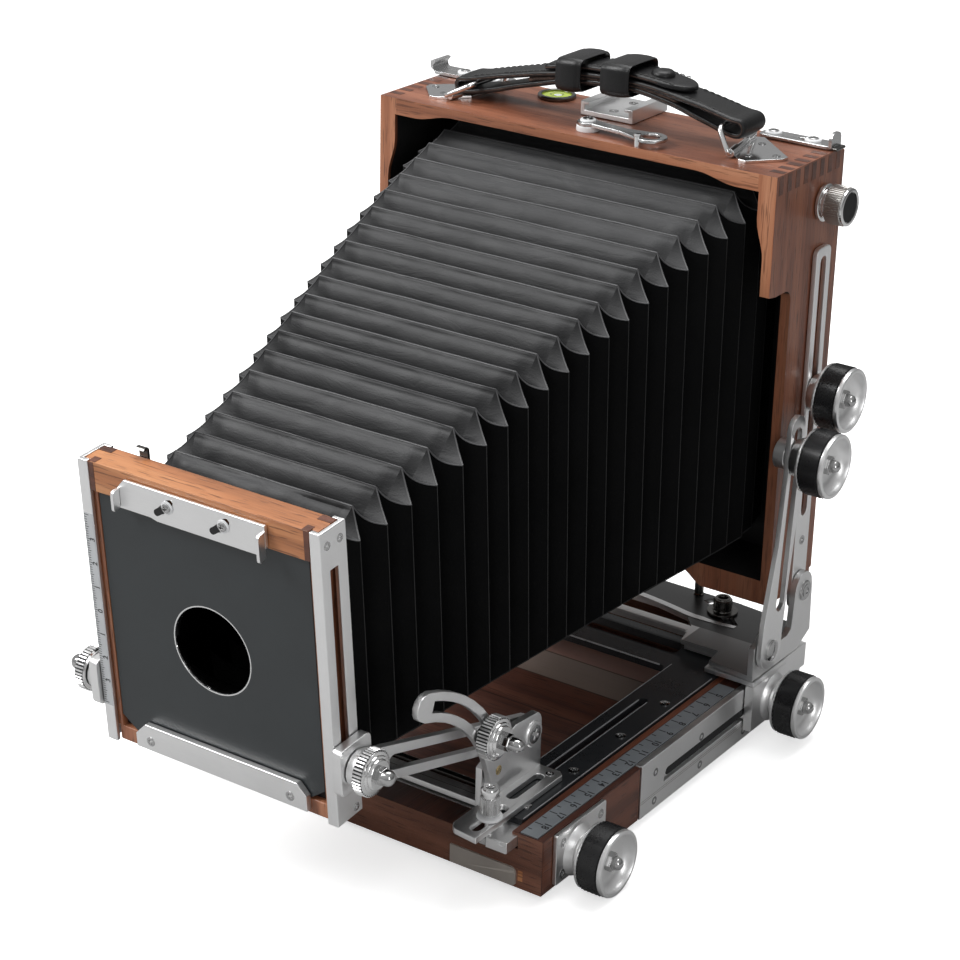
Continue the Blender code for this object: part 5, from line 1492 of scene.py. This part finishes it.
# body at the front end, body at the rear end, first and last fold line
CHAIN = [("front_standard", "standard_brackets", 0, 3), ("standard_brackets", "link_arms", 3, 6),
         ("link_arms", "front_carriage", 6, 9), ("front_carriage", "focus_slide", 9, 10),
         ("focus_slide", "bed", 10, 21), ("bed", "rear_carrier", 21, 29),
         ("rear_carrier", "rear_yoke", 29, 31), ("rear_yoke", "rear_uprights", 31, 34),
         ("rear_uprights", "rear_standard", 34, 36), ("rear_standard", None, 36, 44)]
BLEND_MARGIN = 0.0003  # metres
bellows_pieces = []
for i, (front_body, rear_body, first, last) in enumerate(CHAIN):
    slope = math.atan(math.tan(TILT) * (1 - (first + last) / 2 / HALF_FOLDS))
    along = Vector((0, math.cos(slope), math.sin(slope)))
    reach = [[world_point(*place).dot(along) for place in fold_lines[k]] for k in (first, last)]
    start, end = max(reach[0]) + BLEND_MARGIN, min(reach[1]) - BLEND_MARGIN
    # lips carry the pale painted-highlight colour and dark the near-black painted-shade colour of
    # the same folded lips
    cloth, lips, dark = Shape(), Shape(), Shape()
    for k in range(first, last):
        fold_panels(k, cloth, lips, dark)
    # a section's first line belongs to the section before it
    for k in range(first + 1 if first else 0, last + 1):
        ridge_lips(k, lips, dark)
    for shape, name, material, angle in ((cloth, "cloth", "bellows_cloth", 32),
                                         (lips, "lips", "bellows_ridge", 60),
                                         (dark, "side_lips", "bellows_side_ridge", 60)):
        piece = shape.build(f"bellows_{name}_{i}", material, None, "bellows", angle=angle)
        bellows_pieces.append(piece)
        if rear_body:
            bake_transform(piece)
        else:
            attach(piece, front_body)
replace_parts(bellows_pieces[0], "bellows")

# black frame where the bellows meet the rear box (x, z): outline and opening
TRAP_OUTLINE = [(-88.3, 65.3), (88.3, 65.3), (88.3, 208.0), (84.3, 222.0), (84.3, 231.2),
                (-84.3, 231.2), (-84.3, 222.0), (-88.3, 208.0)]
TRAP_OPENING = [(-64.0, 86.0), (64.0, 86.0), (64.0, 214.0), (-64.0, 214.0)]
Shape().plate("y", [TRAP_OUTLINE, TRAP_OPENING], 201.2, 203.2) \
    .build("rear_box_light_trap", "matt_black", REAR, "board_black", bevel=0.3)

# ---------------------------------------------------------------- floor
FLOOR_HALF = 6
floor_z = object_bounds()[0][2] - 0.0001
mesh = bpy.data.meshes.new("floor")
mesh.from_pydata([(x * FLOOR_HALF, y * FLOOR_HALF, floor_z)
                  for x, y in ((-1, -1), (1, -1), (1, 1), (-1, 1))], [], [(0, 1, 2, 3)])
floor = bpy.data.objects.new("floor", mesh)
bpy.context.scene.collection.objects.link(floor)
pale = Material("floor_pale")
pale.surface(pale.mix(pale.noise(3, detail=2), (0.88, 0.88, 0.88), (0.92, 0.92, 0.92)), 0.7)
mesh.materials.append(pale.material)
# the camera sees a lifted, nearly white floor; other rays meet a mid grey one
glow = pale.node("Emission", {"Strength": 0.62}).outputs[0]
grey = pale.node("BsdfDiffuse", {0: (0.42, 0.42, 0.42)}).outputs[0]
seen = pale.node("AddShader", {0: pale.principled.outputs[0], 1: glow}).outputs[0]
is_camera = pale.node("LightPath").outputs["Is Camera Ray"]
mixed = pale.node("MixShader", {0: is_camera, 1: grey, 2: seen}).outputs[0]
pale.feed(pale.tree.nodes["Material Output"].inputs[0], mixed)

# ---------------------------------------------------------------- world
# strength of the light from all round, and what is added from above, the left and the front
AMBIENT, FROM_ABOVE, FROM_LEFT, FROM_FRONT = 0.13, 0.34, 0.20, 0.20
world = bpy.data.worlds.new("studio")
bpy.context.scene.world = world
world.use_nodes = True
sky = Nodes(world.node_tree)
background = sky.tree.nodes["Background"]
sky.feed(background.inputs[0], (1.0, 1.0, 1.0))
way = sky.parts(sky.node("TexCoord").outputs["Generated"])
strength = sky.math("MULTIPLY_ADD", sky.math("MAXIMUM", way[2], 0.0), FROM_ABOVE, AMBIENT)
for part, amount in ((way[0], FROM_LEFT), (way[1], FROM_FRONT)):
    facing = sky.math("MAXIMUM", sky.times(part, -1.0), 0.0)
    strength = sky.math("MULTIPLY_ADD", facing, amount, strength)
is_camera = sky.node("LightPath").outputs["Is Camera Ray"]
sky.feed(background.inputs[1], sky.node("Mix", {0: is_camera, 2: strength, 3: 1.0}).outputs[0])


# ---------------------------------------------------------------- lights
def area_light(name, location, target, size, power):
    light = bpy.data.lights.new(name, "AREA")
    light.shape = "RECTANGLE"
    light.size, light.size_y = size
    light.energy = power
    lamp = bpy.data.objects.new(name, light)
    lamp.location = location
    toward = Vector(target) - Vector(location)
    lamp.rotation_euler = toward.to_track_quat("-Z", "Y").to_euler()
    bpy.context.scene.collection.objects.link(lamp)


area_light("overhead", location=(-0.1, 0.3, 1.3), target=(0, 0, 0.1), size=(0.9, 0.7), power=10)
area_light("front_left", location=(-1.0, -0.95, 1.35), target=(0, 0, 0.12), size=(0.8, 0.8),
           power=26)
area_light("front_right", location=(1.15, -0.75, 0.6), target=(0, 0, 0.1), size=(0.35, 0.9),
           power=3.0)

# ---------------------------------------------------------------- camera
CAMERA_PLACE = (0.5437, -0.8086, 0.5332)
azimuth, elevation, roll = (math.radians(angle) for angle in (34.20, 23.47, 1.41))
lens = bpy.data.cameras.new("camera")
camera = bpy.data.objects.new("camera", lens)
bpy.context.scene.collection.objects.link(camera)
back = Vector((math.sin(azimuth) * math.cos(elevation),
               -math.cos(azimuth) * math.cos(elevation), math.sin(elevation)))
level_right = Vector((0, 0, 1)).cross(back).normalized()
level_up = back.cross(level_right)
right = level_right * math.cos(roll) + level_up * math.sin(roll)
up = -level_right * math.sin(roll) + level_up * math.cos(roll)
camera.matrix_world = Matrix((*zip(right, up, back, CAMERA_PLACE), (0, 0, 0, 1)))
lens.sensor_width = 36.0
lens.lens = 97.35
lens.clip_start = 0.01
lens.clip_end = 50
bpy.context.scene.camera = camera
bpy.context.scene.view_settings.view_transform = "Standard"
